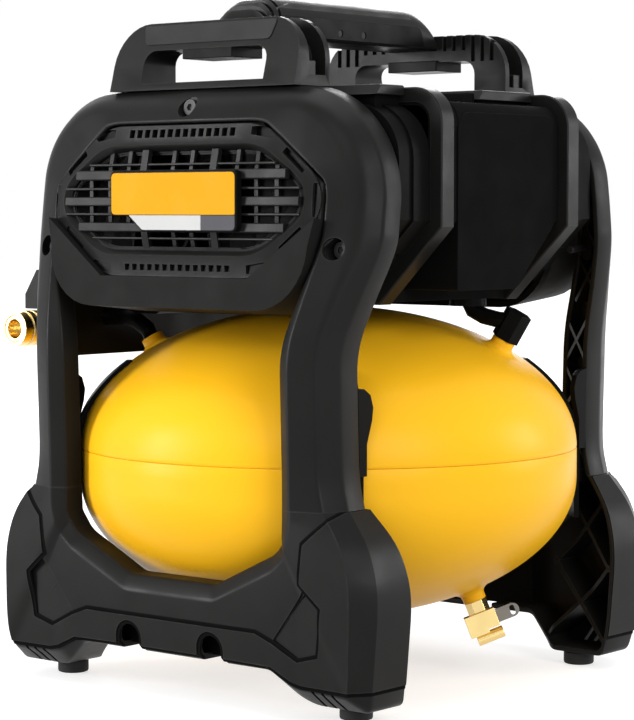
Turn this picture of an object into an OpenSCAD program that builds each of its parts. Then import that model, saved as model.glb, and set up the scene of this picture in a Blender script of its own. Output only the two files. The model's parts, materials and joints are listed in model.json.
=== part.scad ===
/* [Tank] */
// Outer radius of the air tank
tank_r = 150; // [147:0.5:153]
// Height of each domed end
dome_h = 84; // [80:0.5:88]
// Straight band of the lower shell below the seam
tank_skirt = 18; // [14:0.5:22]
// Wall of the tank shells
tank_wall = 2; // [1.5:0.1:3]
// Height of the tank's seam above the floor
seam_z = 136.5; // [133:0.5:140]
// Depth of the groove along the seam
seam_groove = 0.8; // [0.4:0.1:1.2]

/* [Frames] */
// Half the clear width between the two legs of a frame
leg_in = 83; // [81:0.5:85]
// Width of a leg seen from the front
leg_w = 30; // [28:0.5:32]
// Distance of a leg's front face inside the tank's radius
leg_inset = 2.6; // [1.5:0.1:3.5]
// Half width over the boots
boot_half = 141.4; // [138:0.2:145]
// Height of the boots' upper edge
boot_top = 116; // [112:0.5:120]
// Height of the rail's underside
rail_z = 26; // [22:0.5:30]
// Height of the window's sill
sill_z = 70; // [67:0.5:73]
// Wall of the moulded frames
frame_wall = 3.5; // [2.5:0.1:4]
// Thickness of the ribs inside the frames
rib_t = 2.4; // [1.6:0.1:3]
// Height of a rubber foot
foot_h = 8; // [6:0.5:10]
// Radius of a rubber foot
foot_r = 9.25; // [7:0.25:10]

/* [Hood] */
// Half width of the hood
hood_half = 130; // [128:0.5:133]
// Height of the hood above the deck
hood_h = 123; // [120:0.5:126]
// Radius of the hood's shoulders
shoulder_r = 60; // [54:1:64]
// Lean of the hood's face
hood_lean = 5.7; // [4.5:0.1:7]
// How far the hood's face bows back at its sides
hood_bow = 7; // [5:0.5:8]
// Half width of the grille's recess
recess_half = 102; // [100:0.5:103]
// Half height of the grille's recess
recess_tall = 43.5; // [42:0.5:44]
// Depth of the recess
recess_d = 6; // [4:0.5:7]

/* [Handles] */
// Half width of a loop handle
loop_half = 70.6; // [66:0.2:75]
// Height of a loop handle
loop_h = 39; // [36:0.5:42]
// Radius of a loop handle's corners
loop_corner = 24; // [18:1:28]
// Half width of the carry handle
bar_half = 19; // [15:0.5:22]
// Height of the carry handle above the loops
bar_rise = 15; // [12:0.5:18]

/* [Pump] */
// Half width of the barrel over its rings
barrel_half = 136; // [134:0.5:139]
// Wall of the barrel cover
barrel_wall = 3; // [2:0.1:4]
// How far the barrel's skin lies inside its rings
ring_step = 7; // [6:0.5:8]
// Width of a ring
ring_w = 11.5; // [8:0.5:14]
// Half length of the barrel over its rings
barrel_len = 67; // [64:0.5:68]
// Radius of the drive shaft
shaft_r = 6; // [5:0.25:7]
// Throw of the crank
crank_throw = 12; // [9:0.5:13]
// Bore radius of the cylinder
bore_r = 25; // [22:0.5:26]
// Outer radius of the motor's stator
stator_r = 42; // [38:0.5:46]

/* [Console] */
// Depth of the console's box
console_d = 20; // [18:0.5:22]
// Outer radius of a gauge
gauge_r = 18.5; // [16:0.5:20]
// Radius of the regulator knob
knob_r = 15; // [12:0.5:18]
// Outer radius of the coupler's sleeve
sleeve_r = 10.75; // [10:0.25:12]
// Radius of the coupler's socket
socket_r = 5.75; // [5:0.25:6.25]
// Travel of the coupler's sleeve
sleeve_travel = 5; // [3:0.5:5]

/* [Battery] */
// Width of the battery pack
pack_w = 73; // [68:0.5:75]
// Height of the battery pack under its slide foot
pack_h = 53; // [48:0.5:55]
// Length of the battery pack
pack_len = 106; // [96:1:108]

/* [Drain valve] */
// Distance of the drain port from the tank's axis
drain_r = 88.4; // [82:0.2:92]
// Length of the drain lever
lever_len = 19; // [16:0.5:22]

/* [Hidden] */
$fn = 48;
// Running clearance of pins and sleeves
run_gap = 0.05;
// Gap between pieces that are fitted side by side
fit_gap = 0.4;
// A cut reaches this far past a face
past = 1;

deck_gap = 3.5;
deck_z = seam_z + dome_h + deck_gap;
hood_top = deck_z + hood_h;
axis_z = deck_z + hood_h / 2 - 1.5;
face_y = tank_r - leg_inset;
hood_face = face_y - 18.4;
screw_drop = 10;
leg_out = leg_in + leg_w;
cradle_t = 3.2;
cradle_gap = 0.4;
pad_clear = 2.08;
boot_back = 2.2;
recess_side = 10;
recess_flat = 56;
chin_drop = 61;
chin_r = 35;
tunnel_wall = 3.5;
floor_t = 4;
shroud_front = hood_face - 36;
barrel_z0 = deck_z + 1;
barrel_z1 = hood_top - 1;
barrel_cut = 44;
barrel_round = 19.5;
skin_in = ring_step + barrel_wall;
barrel_floor = barrel_z0 + skin_in;

// Distances across and behind the face of a frame section: inner bevel width, inner bevel depth,
// inner flange, outer bevel width, slant of the face, outer bevel depth, outer flange
sec_rail = [8.7, 4.6, 14, 4, 2, 6, 24];
sec_boot = [8.7, 4.6, 14, 11, 3, 16.5, 28.5];
sec_leg = [8.7, 4.6, 13, 6.3, 5.8, 20,
    face_y - boot_back - 20 - pad_clear
        - sqrt(pow(tank_r + cradle_gap + cradle_t, 2) - pow(leg_out - frame_wall, 2))];
sec_hood = [1.5, 1, 12, 8.3, 5.7, 17.5, 14.6];

charcoal = [0.16, 0.16, 0.16];
black = [0.08, 0.08, 0.08];
yellow = [0.98, 0.74, 0.12];
brass = [0.83, 0.68, 0.33];
steel = [0.7, 0.71, 0.73];
alloy = [0.78, 0.79, 0.8];
white = [0.93, 0.93, 0.9];

// Plain helpers
function lerp(a, b, t) = a + (b - a) * t;
function flat(lists) = [for (l = lists) each l];
function arc(c, r, a0, a1, n) = [for (i = [0:n]) let (a = lerp(a0, a1, i / n)) c + r * [cos(a), sin(a)]];
function both(half) = concat(half, [for (i = [len(half) - 1:-1:0]) [-half[i][0], half[i][1]]]);
function octagon(w, h, flat_half, side_half) =
    both([[flat_half, -h], [w, -side_half], [w, side_half], [flat_half, h]]);

module box(a, b) {
    translate(a) cube(b - a);
}

module along_y(y0, y1) {
    translate([0, y1, 0]) rotate([90, 0, 0]) linear_extrude(y1 - y0) children();
}

module along_x(x0, x1) {
    translate([x0, 0, 0]) rotate([90, 0, 90]) linear_extrude(x1 - x0) children();
}

module rod_y(r, y0, y1) {
    translate([0, y1, 0]) rotate([90, 0, 0]) cylinder(r = r, h = y1 - y0);
}

module rod_x(r, x0, x1) {
    translate([x0, 0, 0]) rotate([0, 90, 0]) cylinder(r = r, h = x1 - x0);
}

module both_sides() {
    children();
    mirror([1, 0, 0]) children();
}

module rear() {
    mirror([0, 1, 0]) children();
}

// A body through a row of sections that all have the same even number of points
module sweep(secs) {
    n = len(secs);
    k = len(secs[0]);
    far = (n - 1) * k;
    sides = [for (i = [0:n - 2], j = [0:k - 1])
        let (a = i * k + j, b = i * k + (j + 1) % k, c = b + k, d = a + k) each [[a, b, c], [a, c, d]]];
    near_cap = [for (j = [0:k / 2 - 2]) each [[k - 2 - j, j + 1, j], [k - 1 - j, k - 2 - j, j]]];
    far_cap = [for (f = near_cap) [far + f[2], far + f[1], far + f[0]]];
    polyhedron(points = flat(secs), faces = concat(sides, near_cap, far_cap), convexity = 8);
}

// A round tube along a route of points
module tube_along(route, r, sides = 10) {
    last = len(route) - 1;
    secs = [for (i = [0:last])
        let (ahead = route[min(i + 1, last)] - route[max(i - 1, 0)], w = ahead / norm(ahead),
            side = cross(w, [0, 1, 0.2]), u = side / norm(side), v = cross(u, w))
        [for (j = [0:sides - 1]) route[i] + r * (cos(360 * j / sides) * u + sin(360 * j / sides) * v)]];
    sweep(secs);
}

// Tank

function dome_z(r) = dome_h * sqrt(1 - pow(r / tank_r, 2));
function dome_tilt(r) = atan2(r / pow(tank_r, 2), dome_z(r) / pow(dome_h, 2));
function dome_arc(r, h, from) = [for (i = [from:24]) [r * cos(90 * i / 24), h * sin(90 * i / 24)]];
function reversed(l) = [for (i = [len(l) - 1:-1:0]) l[i]];
function shell_half(skirt) = concat(
    [[tank_r - seam_groove, 0], [tank_r, seam_groove]],
    skirt > 0 ? [[tank_r, skirt]] : [],
    [for (p = dome_arc(tank_r, dome_h, 1)) p + [0, skirt]],
    [for (p = reversed(dome_arc(tank_r - tank_wall, dome_h - tank_wall, 0))) p + [0, skirt]],
    skirt > 0 ? [[tank_r - tank_wall, 0]] : []);

module on_upper(az, r) {
    rotate([0, 0, az]) translate([r, 0, seam_z + dome_z(r)]) rotate([0, dome_tilt(r), 0]) children();
}

module on_lower(az, r) {
    rotate([0, 0, az]) translate([r, 0, seam_z - tank_skirt - dome_z(r)])
        rotate([0, 180 - dome_tilt(r), 0]) children();
}

inlet_az = 22;
inlet_at = 106;
outlet_az = 207;
outlet_at = 108;
drain_az = 25;
port_r = 7;
port_h = 7;
port_hole = 4;

module port() {
    translate([0, 0, -tank_wall]) cylinder(r = port_r, h = port_h + tank_wall);
}

module port_bore() {
    translate([0, 0, -tank_wall * 4]) cylinder(r = port_hole, h = port_h + tank_wall * 5);
}

module tank_upper() {
    color(yellow) difference() {
        union() {
            translate([0, 0, seam_z]) rotate_extrude($fn = 96) polygon(shell_half(0));
            on_upper(inlet_az, inlet_at) port();
            on_upper(outlet_az, outlet_at) port();
        }
        on_upper(inlet_az, inlet_at) port_bore();
        on_upper(outlet_az, outlet_at) port_bore();
    }
}

module tank_lower() {
    color(yellow) difference() {
        union() {
            translate([0, 0, seam_z]) mirror([0, 0, 1])
                rotate_extrude($fn = 96) polygon(shell_half(tank_skirt));
            on_lower(drain_az, drain_r) port();
        }
        on_lower(drain_az, drain_r) port_bore();
    }
}

// Frames

function hood_y(x, z) = -hood_face - (hood_top - screw_drop - z) * tan(hood_lean)
    + hood_bow * pow(x / recess_half, 2);

// One section of a frame: outer point, inner point, place of the face, section sizes
function section(s) =
    let (o = s[0], i = s[1], y = s[2], p = s[3], w = frame_wall, l = norm(o - i), u = (o - i) / l,
        at = function (a, d) [i[0] + u[0] * a, y + d, i[1] + u[1] * a])
    [at(w, p[1] + p[2]), at(w, p[1] + w * 0.6), at(max(p[0] + w * 0.3, w + 0.2), w),
        at(l - p[3] - w * 0.4, p[4] + w), at(l - w, p[5] + w * 0.4), at(l - w, p[5] + p[6]),
        at(l, p[5] + p[6]), at(l, p[5]), at(l - p[3], p[4]), at(p[0], 0), at(0, p[1]), at(0, p[1] + p[2])];
function filled(sec) = [for (j = [6:11]) sec[j]];
function flip(s) = [[-s[0][0], s[0][1]], [-s[1][0], s[1][1]], s[2], s[3]];

rail_y = -(face_y - 4.4);
boot_y = -(face_y - boot_back);
sill_half = 33;
boot_in = leg_in + 14;
boot_floor_end = boot_half - 7.4;

base_right = [
    [[0, rail_z], [0, sill_z], rail_y, sec_rail],
    [[sill_half + 3, rail_z], [sill_half, sill_z], rail_y, sec_rail],
    [[leg_in - 11, rail_z], [lerp(sill_half, leg_in, 0.5), sill_z + 12], rail_y, sec_rail],
    [[leg_in + 7, foot_h + 4], [leg_in - 8, sill_z + 20], rail_y, lerp(sec_rail, sec_boot, 0.6)],
    [[boot_in, foot_h], [leg_in - 4.5, sill_z + 23], rail_y, sec_boot],
    [[boot_floor_end, foot_h], [leg_in - 1.5, sill_z + 27], rail_y, sec_boot],
    [[boot_half - 4, foot_h + 14], [leg_in, sill_z + 32], boot_y, sec_boot],
    [[boot_half, boot_top - 44], [leg_in, boot_top - 9], boot_y, sec_boot],
    [[boot_half - 6, boot_top - 19], [leg_in, boot_top - 5], boot_y, sec_boot],
    [[leg_out + 10.5, boot_top], [leg_in, boot_top], boot_y, lerp(sec_boot, sec_leg, 0.5)]];

slant_z = deck_z - 21;
side_z = deck_z + 34;
corner = [recess_half, hood_top - 54];
crown = [recess_flat, hood_top - 20];
shoulder = [hood_half - shoulder_r, hood_top - shoulder_r];

arch_right = concat(
    [[[leg_out + 4, boot_top], [leg_in, boot_top], boot_y, sec_leg],
        [[leg_out, boot_top + 16], [leg_in, boot_top + 16], boot_y, sec_leg],
        [[leg_out, slant_z], [leg_in, slant_z], -face_y, sec_leg],
        [lerp([leg_out, slant_z], [hood_half, side_z], 0.5),
            lerp([leg_in, slant_z], [recess_half, side_z + 4], 0.5),
            lerp(-face_y, hood_y(recess_half, side_z), 0.45), lerp(sec_leg, sec_hood, 0.5)],
        [[hood_half, side_z], [recess_half, side_z + 4], hood_y(recess_half, side_z), sec_hood],
        [[hood_half, side_z + 15], [recess_half, side_z + 15], hood_y(recess_half, side_z + 15), sec_hood]],
    [for (k = [0:6]) let (a = 15 * k, i = lerp(corner, crown, k / 6))
        [shoulder + shoulder_r * [cos(a), sin(a)], i, hood_y(i[0], i[1]), sec_hood]],
    [[[0, hood_top], [0, crown[1]], hood_y(0, crown[1]), sec_hood]]);

base_left = [for (i = [len(base_right) - 1:-1:1]) flip(base_right[i])];
arch_left = [for (i = [len(arch_right) - 2:-1:0]) flip(arch_right[i])];
base_secs = [for (s = concat(base_left, base_right)) section(s)];
arch_secs = [for (s = concat(arch_right, arch_left)) section(s)];

module hood_place() {
    translate([0, hood_y(0, axis_z), axis_z]) rotate([-hood_lean, 0, 0]) children();
}

// Screw seats on the hood: across, up from its middle, depth of the head behind the face
screw_x = recess_half + 7.8;
screw_seats = [[0, hood_top - screw_drop - axis_z, 6], [screw_x, side_z - axis_z, 14],
    [-screw_x, side_z - axis_z, 14]];
screw_r = 2.2;
screw_head_r = 4.6;
screw_head_h = 3;
screw_well_r = 6.2;
screw_boss_r = 8.2;
screw_len = 26;

module at_screws() {
    for (s = screw_seats) hood_place() translate([s[0], s[2], s[1]]) children();
}

// Crossed ribs that stiffen a leg from the inside
module cross_ribs(x, z, span, count) {
    for (k = [0:count - 1], turn = [-45, 45])
        translate([x, -face_y + 20, z + k * span]) rotate([0, turn, 0])
            cube([span * 1.5, 60, rib_t], center = true);
}

module frame_body() {
    color(charcoal) difference() {
        union() {
            sweep(arch_secs);
            intersection() {
                sweep([for (s = arch_secs) filled(s)]);
                union() {
                    at_screws() rod_y(screw_boss_r, -4, screw_len);
                    both_sides() cross_ribs(leg_in + leg_w / 2, boot_top + 22, leg_w, 3);
                    both_sides() cross_ribs((recess_half + hood_half) / 2 - 4, deck_z + 14, leg_w, 2);
                }
            }
        }
        at_screws() rod_y(screw_well_r, -40, screw_head_h);
        at_screws() rod_y(screw_r + 0.2, 0, screw_len * 2);
    }
}

arch_x = 31.4;
arch_r = 9.5;
fin_w = 2.2;
fin_pitch = 7;

module base_body() {
    color(charcoal) difference() {
        union() {
            sweep(base_secs);
            intersection() {
                sweep([for (s = base_secs) filled(s)]);
                both_sides() cross_ribs(boot_half - 30, foot_h + 30, 46, 2);
            }
        }
        both_sides() translate([arch_x, 0, rail_z + 7.5]) rod_y(arch_r, -tank_r - 20, -tank_r + 50);
        both_sides() box([arch_x - arch_r, -tank_r - 20, 0], [arch_x + arch_r, -tank_r + 50, rail_z + 7.5]);
        both_sides() for (k = [0:2])
            box([boot_in + 6 + k * fin_pitch, -tank_r - 5, foot_h + 3],
                [boot_in + 6 + k * fin_pitch + fin_w, -tank_r + 25, foot_h + 12]);
    }
}

module front_frame() {
    frame_body();
}

module rear_frame() {
    rear() frame_body();
}

module front_base() {
    base_body();
}

module rear_base() {
    rear() base_body();
}

foot_x = boot_half - 31.4;
foot_y = face_y - 38.4;

module rubber_feet() {
    color(black) for (x = [-foot_x, foot_x], y = [-foot_y, foot_y])
        translate([x, y, 0]) cylinder(r = foot_r, h = foot_h);
}

module one_screw() {
    difference() {
        union() {
            rod_y(screw_head_r, 0, screw_head_h);
            rod_y(screw_r, 0, screw_len);
        }
        rotate([90, 0, 0]) translate([0, 0, -1.6]) cylinder(r = 2, h = 4, $fn = 6);
    }
}

module frame_screws() {
    color(steel) {
        at_screws() one_screw();
        rear() at_screws() one_screw();
    }
}

// Handles

loop_front = hood_face - 13.8;
loop_back = hood_face - 45;
loop_lean = 10.4;
loop_open = loop_half - 23.6;
loop_web = 10;
loop_slot = 14;

function loop_outline(g) = both(concat([[loop_half - g, hood_top - (g > 0 ? past : 0)]],
    arc([loop_half - loop_corner, hood_top + loop_h - loop_corner], loop_corner - g, 0, 90, 8)));
function loop_hole() = both(concat([[loop_open, hood_top + 4]],
    arc([loop_open - 8, hood_top + loop_h - 24], 8, 0, 90, 5)));

module loop_body() {
    color(charcoal) difference() {
        intersection() {
            along_y(-loop_front - past, -loop_back) polygon(loop_outline(0));
            along_x(-loop_half - past, loop_half + past)
                polygon([[-loop_front, hood_top], [-loop_front + loop_lean, hood_top + loop_h],
                    [-loop_back, hood_top + loop_h], [-loop_back, hood_top]]);
        }
        along_y(-loop_front - 2, -loop_back + past) polygon(loop_hole());
        both_sides() intersection() {
            box([bar_half + 18, -loop_back - 4 - loop_slot, hood_top + 6],
                [loop_half + past, -loop_back - 4, hood_top + loop_h + past]);
            difference() {
                along_y(-loop_front, -loop_back) polygon(loop_outline(-past));
                along_y(-loop_front - past, -loop_back + past) polygon(loop_outline(loop_web));
            }
        }
    }
}

module front_handle() {
    loop_body();
}

module rear_handle() {
    rear() loop_body();
}

bar_flat = loop_back - 22;
bar_drop = 9;
nose_drop = 7;

module carry_handle() {
    loop_top = hood_top + loop_h;
    nose = [for (i = [0:8]) [lerp(bar_flat, loop_back, sin(90 * i / 8)),
        lerp(loop_top - nose_drop, loop_top + bar_rise, cos(90 * i / 8))]];
    color(charcoal) along_x(-bar_half, bar_half)
        polygon(both(concat([[loop_back, loop_top - bar_drop]], reversed(nose))));
}

// Barrel, shrouds and grille

// Outline of the barrel, moved inwards by g
function barrel_outline(g) = both(concat(
    [[barrel_half - barrel_cut - g * tan(22.5), barrel_z0 + g],
        [barrel_half - g, barrel_z0 + barrel_cut + g * tan(22.5)]],
    arc([barrel_half - barrel_round, barrel_z1 - barrel_round], barrel_round - g, 0, 90, 6)));

// Outline of a shroud, with rounder shoulders than the barrel
shroud_r = 40;
function shroud_outline(g) = both(concat(
    [[barrel_half - barrel_cut - g * tan(22.5), barrel_z0 + g],
        [barrel_half - g, barrel_z0 + barrel_cut + g * tan(22.5)]],
    arc([barrel_half - shroud_r, barrel_z1 - shroud_r], shroud_r - g, 0, 90, 10)));

// Places along the drive line, from the hood's face backwards
fan_y = -(hood_face - 18);
fan_r = 33;
fan_h = 12;
fan_gap = 11;
motor_len = 32;
motor_gap = 8;
case_len = 58;
motor_front = fan_y + fan_h + fan_gap;
motor_back = motor_front + motor_len;
case_front = motor_back + motor_gap;
case_back = case_front + case_len;
cyl_y = case_front + 36;

tube_hole_r = 8;
tube_hole = [81, cyl_y + 44];
belly_half = barrel_half - barrel_cut - 1;
belly_z = barrel_z0 + 1;
belly_len = barrel_len - ring_w;

// Flat panel on the pump side, seen square on, with one lower corner cut away
panel_out = 1;
side_panel = [[-44, barrel_z0 + 8], [12, barrel_z0 + 8], [53, barrel_z0 + 47], [53, barrel_z1 - 13],
    [-44, barrel_z1 - 13]];

module barrel_cover() {
    color(black) difference() {
        union() {
            along_y(-barrel_len, barrel_len) polygon(barrel_outline(ring_step));
            for (y = [-barrel_len, belly_len]) along_y(y, y + ring_w) polygon(barrel_outline(0));
            box([-belly_half, -belly_len - past, belly_z], [belly_half, belly_len + past, barrel_floor]);
            along_x(belly_half, barrel_half - ring_step + panel_out) polygon(side_panel);
        }
        along_y(-barrel_len - past, barrel_len + past) polygon(barrel_outline(skin_in));
        translate([tube_hole[0], tube_hole[1], deck_z]) cylinder(r = tube_hole_r, h = skin_in * 2);
    }
}

function tunnel_outline(g) = both(concat(
    arc([recess_half - 4 - chin_r, chin_r - chin_drop], chin_r - g, -90, 0, 8),
    [[recess_half - fit_gap - g, -recess_side - 1], [recess_half - fit_gap - g, recess_side - 1],
        [recess_flat - fit_gap - g * 0.6, recess_tall - fit_gap - g]]));

shroud_step = (shroud_front - barrel_len) * 15 / 26;
vent_count = 13;
vent_pitch = 6.5;
vent_z = 36.5;
grille_w = 92;
grille_h = 30;
grille_flat = 56;
grille_rim = 5;
grille_front = -0.5;

module vent_rows() {
    for (k = [0:vent_count - 1], z = [-vent_z, vent_z])
        translate([(k - (vent_count - 1) / 2) * vent_pitch, 0, z])
            cube([vent_pitch * 0.55, recess_d * 4, 5], center = true);
}

module shroud_shell(front) {
    difference() {
        union() {
            intersection() {
                hood_place() along_y(0, 70) polygon(tunnel_outline(0));
                box([-tank_r, -tank_r, deck_z - 20], [tank_r, -shroud_front + barrel_wall, hood_top]);
            }
            along_y(-shroud_front, -barrel_len - shroud_step) polygon(shroud_outline(ring_step + 2.5));
            along_y(-barrel_len - shroud_step, -barrel_len) polygon(shroud_outline(ring_step + 1));
        }
        hood_place() along_y(-10, recess_d)
            polygon(octagon(recess_half - fit_gap / 2, recess_tall, recess_flat, recess_side));
        hood_place() along_y(recess_d + floor_t, 80) polygon(tunnel_outline(tunnel_wall));
        along_y(-shroud_front + barrel_wall, -barrel_len + past)
            polygon(shroud_outline(ring_step + 2.5 + barrel_wall));
        at_screws() rod_y(screw_r + 0.2, 0, screw_len * 2);
        if (front) {
            hood_place() vent_rows();
            hood_place() along_y(-past, 30) polygon(octagon(grille_w - 2, grille_h - 2, grille_flat, 9));
        }
    }
}

module front_shroud() {
    color(charcoal) shroud_shell(true);
}

bay_w = pack_w + 3;
bay_h = pack_h + 15;
bay_low = -31 - 1.5;
dock_wall = 2.5;
dock_flange = 5;

module rear_shroud() {
    color(charcoal) rear() difference() {
        shroud_shell(false);
        box([-bay_w / 2 - dock_wall - fit_gap, -tank_r, axis_z + bay_low - dock_wall - fit_gap],
            [bay_w / 2 + dock_wall + fit_gap, -shroud_front + 40,
                axis_z + bay_low + bay_h + dock_wall + fit_gap]);
        for (side = [-1, 1], k = [0:4])
            hood_place() translate([side * (bay_w / 2 + 22 + k * 5), 0, 0])
                cube([2.5, 40, 34], center = true);
    }
}

// Slats: height above the grille's middle and thickness
slats = [[20.2, 1.4], [14.2, 5.6], [6.5, 1.4], [-0.7, 5.2], [-7.9, 1.4], [-15.3, 5.3], [-21.4, 1.4]];
// Upright bars: place across and width
uprights = [[-71, 3], [-56, 3], [-41.5, 3], [-26.6, 5], [-7, 3], [7, 3], [26.6, 5], [41.5, 3], [56, 3],
    [71, 3]];

module front_grille() {
    mid = fit_gap + 2;
    color(charcoal) hood_place() {
        difference() {
            along_y(grille_front, recess_d) polygon(octagon(grille_w, grille_h, grille_flat, 9));
            along_y(grille_front - past, recess_d + past)
                polygon(octagon(grille_w - grille_rim, grille_h - grille_rim, grille_flat - 2, 7));
        }
        intersection() {
            along_y(grille_front + 1, recess_d + 6)
                polygon(octagon(grille_w - mid, grille_h - mid, grille_flat - 1, 8));
            union() {
                for (s = slats)
                    box([-grille_w, grille_front + 1.5, s[0] - s[1] / 2],
                        [grille_w, recess_d + 1, s[0] + s[1] / 2]);
                for (u = uprights)
                    box([u[0] - u[1] / 2, recess_d + 0.5, -grille_h],
                        [u[0] + u[1] / 2, recess_d + 4, grille_h]);
            }
        }
    }
}

badge_w = 96.5;
badge_h = 34.6;
badge_t = 4.9;
badge_z = -1.2;
strip_h = 9.2;
strip_w = 70;
strip_t = 0.8;

module badge_plate() {
    low = badge_z - badge_h / 2;
    color(yellow) hood_place() along_y(grille_front + 1.5 - badge_t, grille_front + 1.5)
        polygon([[badge_w / 2, low], [badge_w / 2, low + badge_h], [-badge_w / 2, low + badge_h],
            [-badge_w / 2, low + strip_h], [badge_w / 2 - strip_w - strip_h, low + strip_h],
            [badge_w / 2 - strip_w, low]]);
}

module badge_strip() {
    front = grille_front + 1.5 - badge_t;
    low = badge_z - badge_h / 2;
    color(white) hood_place() along_y(front - strip_t, front)
        polygon([[badge_w / 2, low], [badge_w / 2, low + strip_h],
            [badge_w / 2 - strip_w - strip_h, low + strip_h], [badge_w / 2 - strip_w, low]]);
}

// Cradles: a pad against the tank behind each leg, and a hooked web that carries it

cradle_low = 46;
cradle_in = 6.934;
cradle_at = -acos((leg_out - cradle_in) / tank_r);
cradle_turn = 6.8;
cradle_start = 5;
hook_low = boot_top + 17;
hook_rise = 45;
lug_back = -sqrt(pow(tank_r + cradle_gap, 2) - pow(leg_out - frame_wall, 2)) - cradle_gap;
// Back edge of a leg's outer flange at a height
function leg_back(z) = lerp(boot_y, -face_y, (z - boot_top - 16) / (slant_z - boot_top - 16))
    + sec_leg[5] + sec_leg[6];

module cradle_pad() {
    steps = 14;
    line = concat([[tank_r, -cradle_low], [tank_r, -cradle_low / 2]],
        [for (i = [0:steps]) let (a = 38 * i / steps) [tank_r * cos(a), dome_h * sin(a)]]);
    inner = [for (p = line) p + [cradle_gap, 0]];
    outer = [for (p = line) p + [cradle_gap + cradle_t, 0]];
    translate([0, 0, seam_z]) rotate([0, 0, cradle_at - cradle_start])
        rotate_extrude(angle = cradle_turn, $fn = 96) polygon(concat(inner, reversed(outer)));
    along_x(leg_out - frame_wall, leg_out)
        polygon([[leg_back(hook_low), hook_low], [lug_back, hook_low], [lug_back, seam_z + 14],
            [lug_back + 4.5, seam_z + 27], [lug_back + 5.5, seam_z + 34], [lug_back + 3, seam_z + 41],
            [lug_back - 2.5, seam_z + hook_rise - 0.5],
            [leg_back(seam_z + hook_rise), seam_z + hook_rise]]);
}

module front_cradle() {
    color(black) both_sides() cradle_pad();
}

module rear_cradle() {
    color(black) rear() both_sides() cradle_pad();
}

// Motor and pump

case_half = 42;
case_right = 36;
case_wall = 4;
case_leg = 6;
rotor_gap = 0.8;
stator_in = 27;
bearing_r = 13;
bearing_w = 8;
disc_y0 = case_front + bearing_w + 0.5;
disc_t = 9.5;
disc_y1 = disc_y0 + disc_t;
disc_r = 28;
pin_r = 5;
eye_half = 6;
eye_r = 11;
piston_h = 10;
piston_x = 60;
cup_t = 2;
sleeve_end = piston_x + piston_h + cup_t + 4;
plate_t = 4;
sleeve_wall = 5;

module at_axis() {
    translate([0, 0, axis_z]) children();
}

module motor_stator() {
    color(steel) at_axis() {
        difference() {
            rod_y(stator_r, motor_front, motor_back);
            rod_y(stator_in, motor_front - past, motor_back + past);
        }
        for (a = [0:60:300]) rotate([0, a, 0])
            translate([stator_r - 6, 0, 0]) rod_y(4, motor_back - past, case_front);
    }
}

module motor_rotor() {
    color(black) at_axis() difference() {
        rod_y(stator_in - rotor_gap, motor_front, motor_back);
        rod_y(shaft_r, motor_front - past, motor_back + past);
    }
}

module drive_shaft() {
    color(steel) at_axis() rod_y(shaft_r, fan_y - 4, disc_y0);
}

module shaft_bearings() {
    color(steel) at_axis() difference() {
        rod_y(bearing_r, case_front, case_front + bearing_w - past);
        rod_y(shaft_r + run_gap, case_front - past, case_front + bearing_w + past);
    }
}

module cooling_fan() {
    color(black) at_axis() difference() {
        union() {
            rod_y(16, fan_y, fan_y + fan_h);
            rod_y(fan_r, fan_y + fan_h - 2, fan_y + fan_h);
            for (a = [0:40:320]) rotate([0, a, 0])
                box([14, fan_y, -1], [fan_r - 1, fan_y + fan_h - 1, 1]);
        }
        rod_y(shaft_r, fan_y - past, fan_y + fan_h + past);
    }
}

module crankcase() {
    color(alloy) difference() {
        union() {
            box([-case_half, case_front, axis_z - case_half], [case_right, case_back, axis_z + case_half]);
            for (x = [-case_half + 8, case_right - 8], y = [case_front + 8, case_back - 8])
                translate([x, y, barrel_floor])
                    cylinder(r = case_leg, h = axis_z - case_half - barrel_floor + past);
        }
        box([-case_half + case_wall, case_front + bearing_w, axis_z - case_half + case_wall],
            [case_right - case_wall, case_back - case_wall, axis_z + case_half - case_wall]);
        at_axis() rod_y(bearing_r, case_front - past, case_front + bearing_w + past);
        translate([0, cyl_y, axis_z]) rod_x(bore_r, case_right - case_wall - past, case_right + past);
    }
}

module crank_disc() {
    color(steel) at_axis() {
        rod_y(disc_r, disc_y0, disc_y1);
        translate([crank_throw, 0, 0]) rod_y(pin_r, disc_y1, cyl_y - eye_half - 0.3);
    }
}

module connecting_rod() {
    color(alloy) translate([0, cyl_y, axis_z]) difference() {
        union() {
            translate([crank_throw, 0, 0]) rod_y(eye_r, -eye_half, eye_half);
            box([crank_throw + 4, -4, -6], [piston_x, 4, 6]);
        }
        translate([crank_throw, 0, 0]) rod_y(pin_r + run_gap, -eye_half - past, eye_half + past);
    }
}

module piston() {
    color(alloy) translate([0, cyl_y, axis_z]) rod_x(bore_r - 0.6, piston_x, piston_x + piston_h);
}

module piston_cup() {
    color(black) translate([0, cyl_y, axis_z])
        rod_x(bore_r - run_gap * 2, piston_x + piston_h, piston_x + piston_h + cup_t);
}

module cylinder_sleeve() {
    color(alloy) translate([0, cyl_y, axis_z]) difference() {
        rod_x(bore_r + sleeve_wall, case_right, sleeve_end);
        rod_x(bore_r, case_right - past, sleeve_end + past);
    }
}

module valve_plate() {
    color(steel) translate([0, cyl_y, axis_z]) difference() {
        rod_x(bore_r + sleeve_wall, sleeve_end, sleeve_end + plate_t);
        for (z = [-10, 10]) translate([0, 0, z]) rod_x(3, sleeve_end - past, sleeve_end + plate_t + past);
    }
}

head_x0 = sleeve_end + plate_t;
head_half = bore_r + 3;
head_gap = 0.86;
head_len = slope_x(axis_z - head_half) - barrel_wall / sin(45) - head_gap - head_x0;
filter_r = 14;

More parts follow.
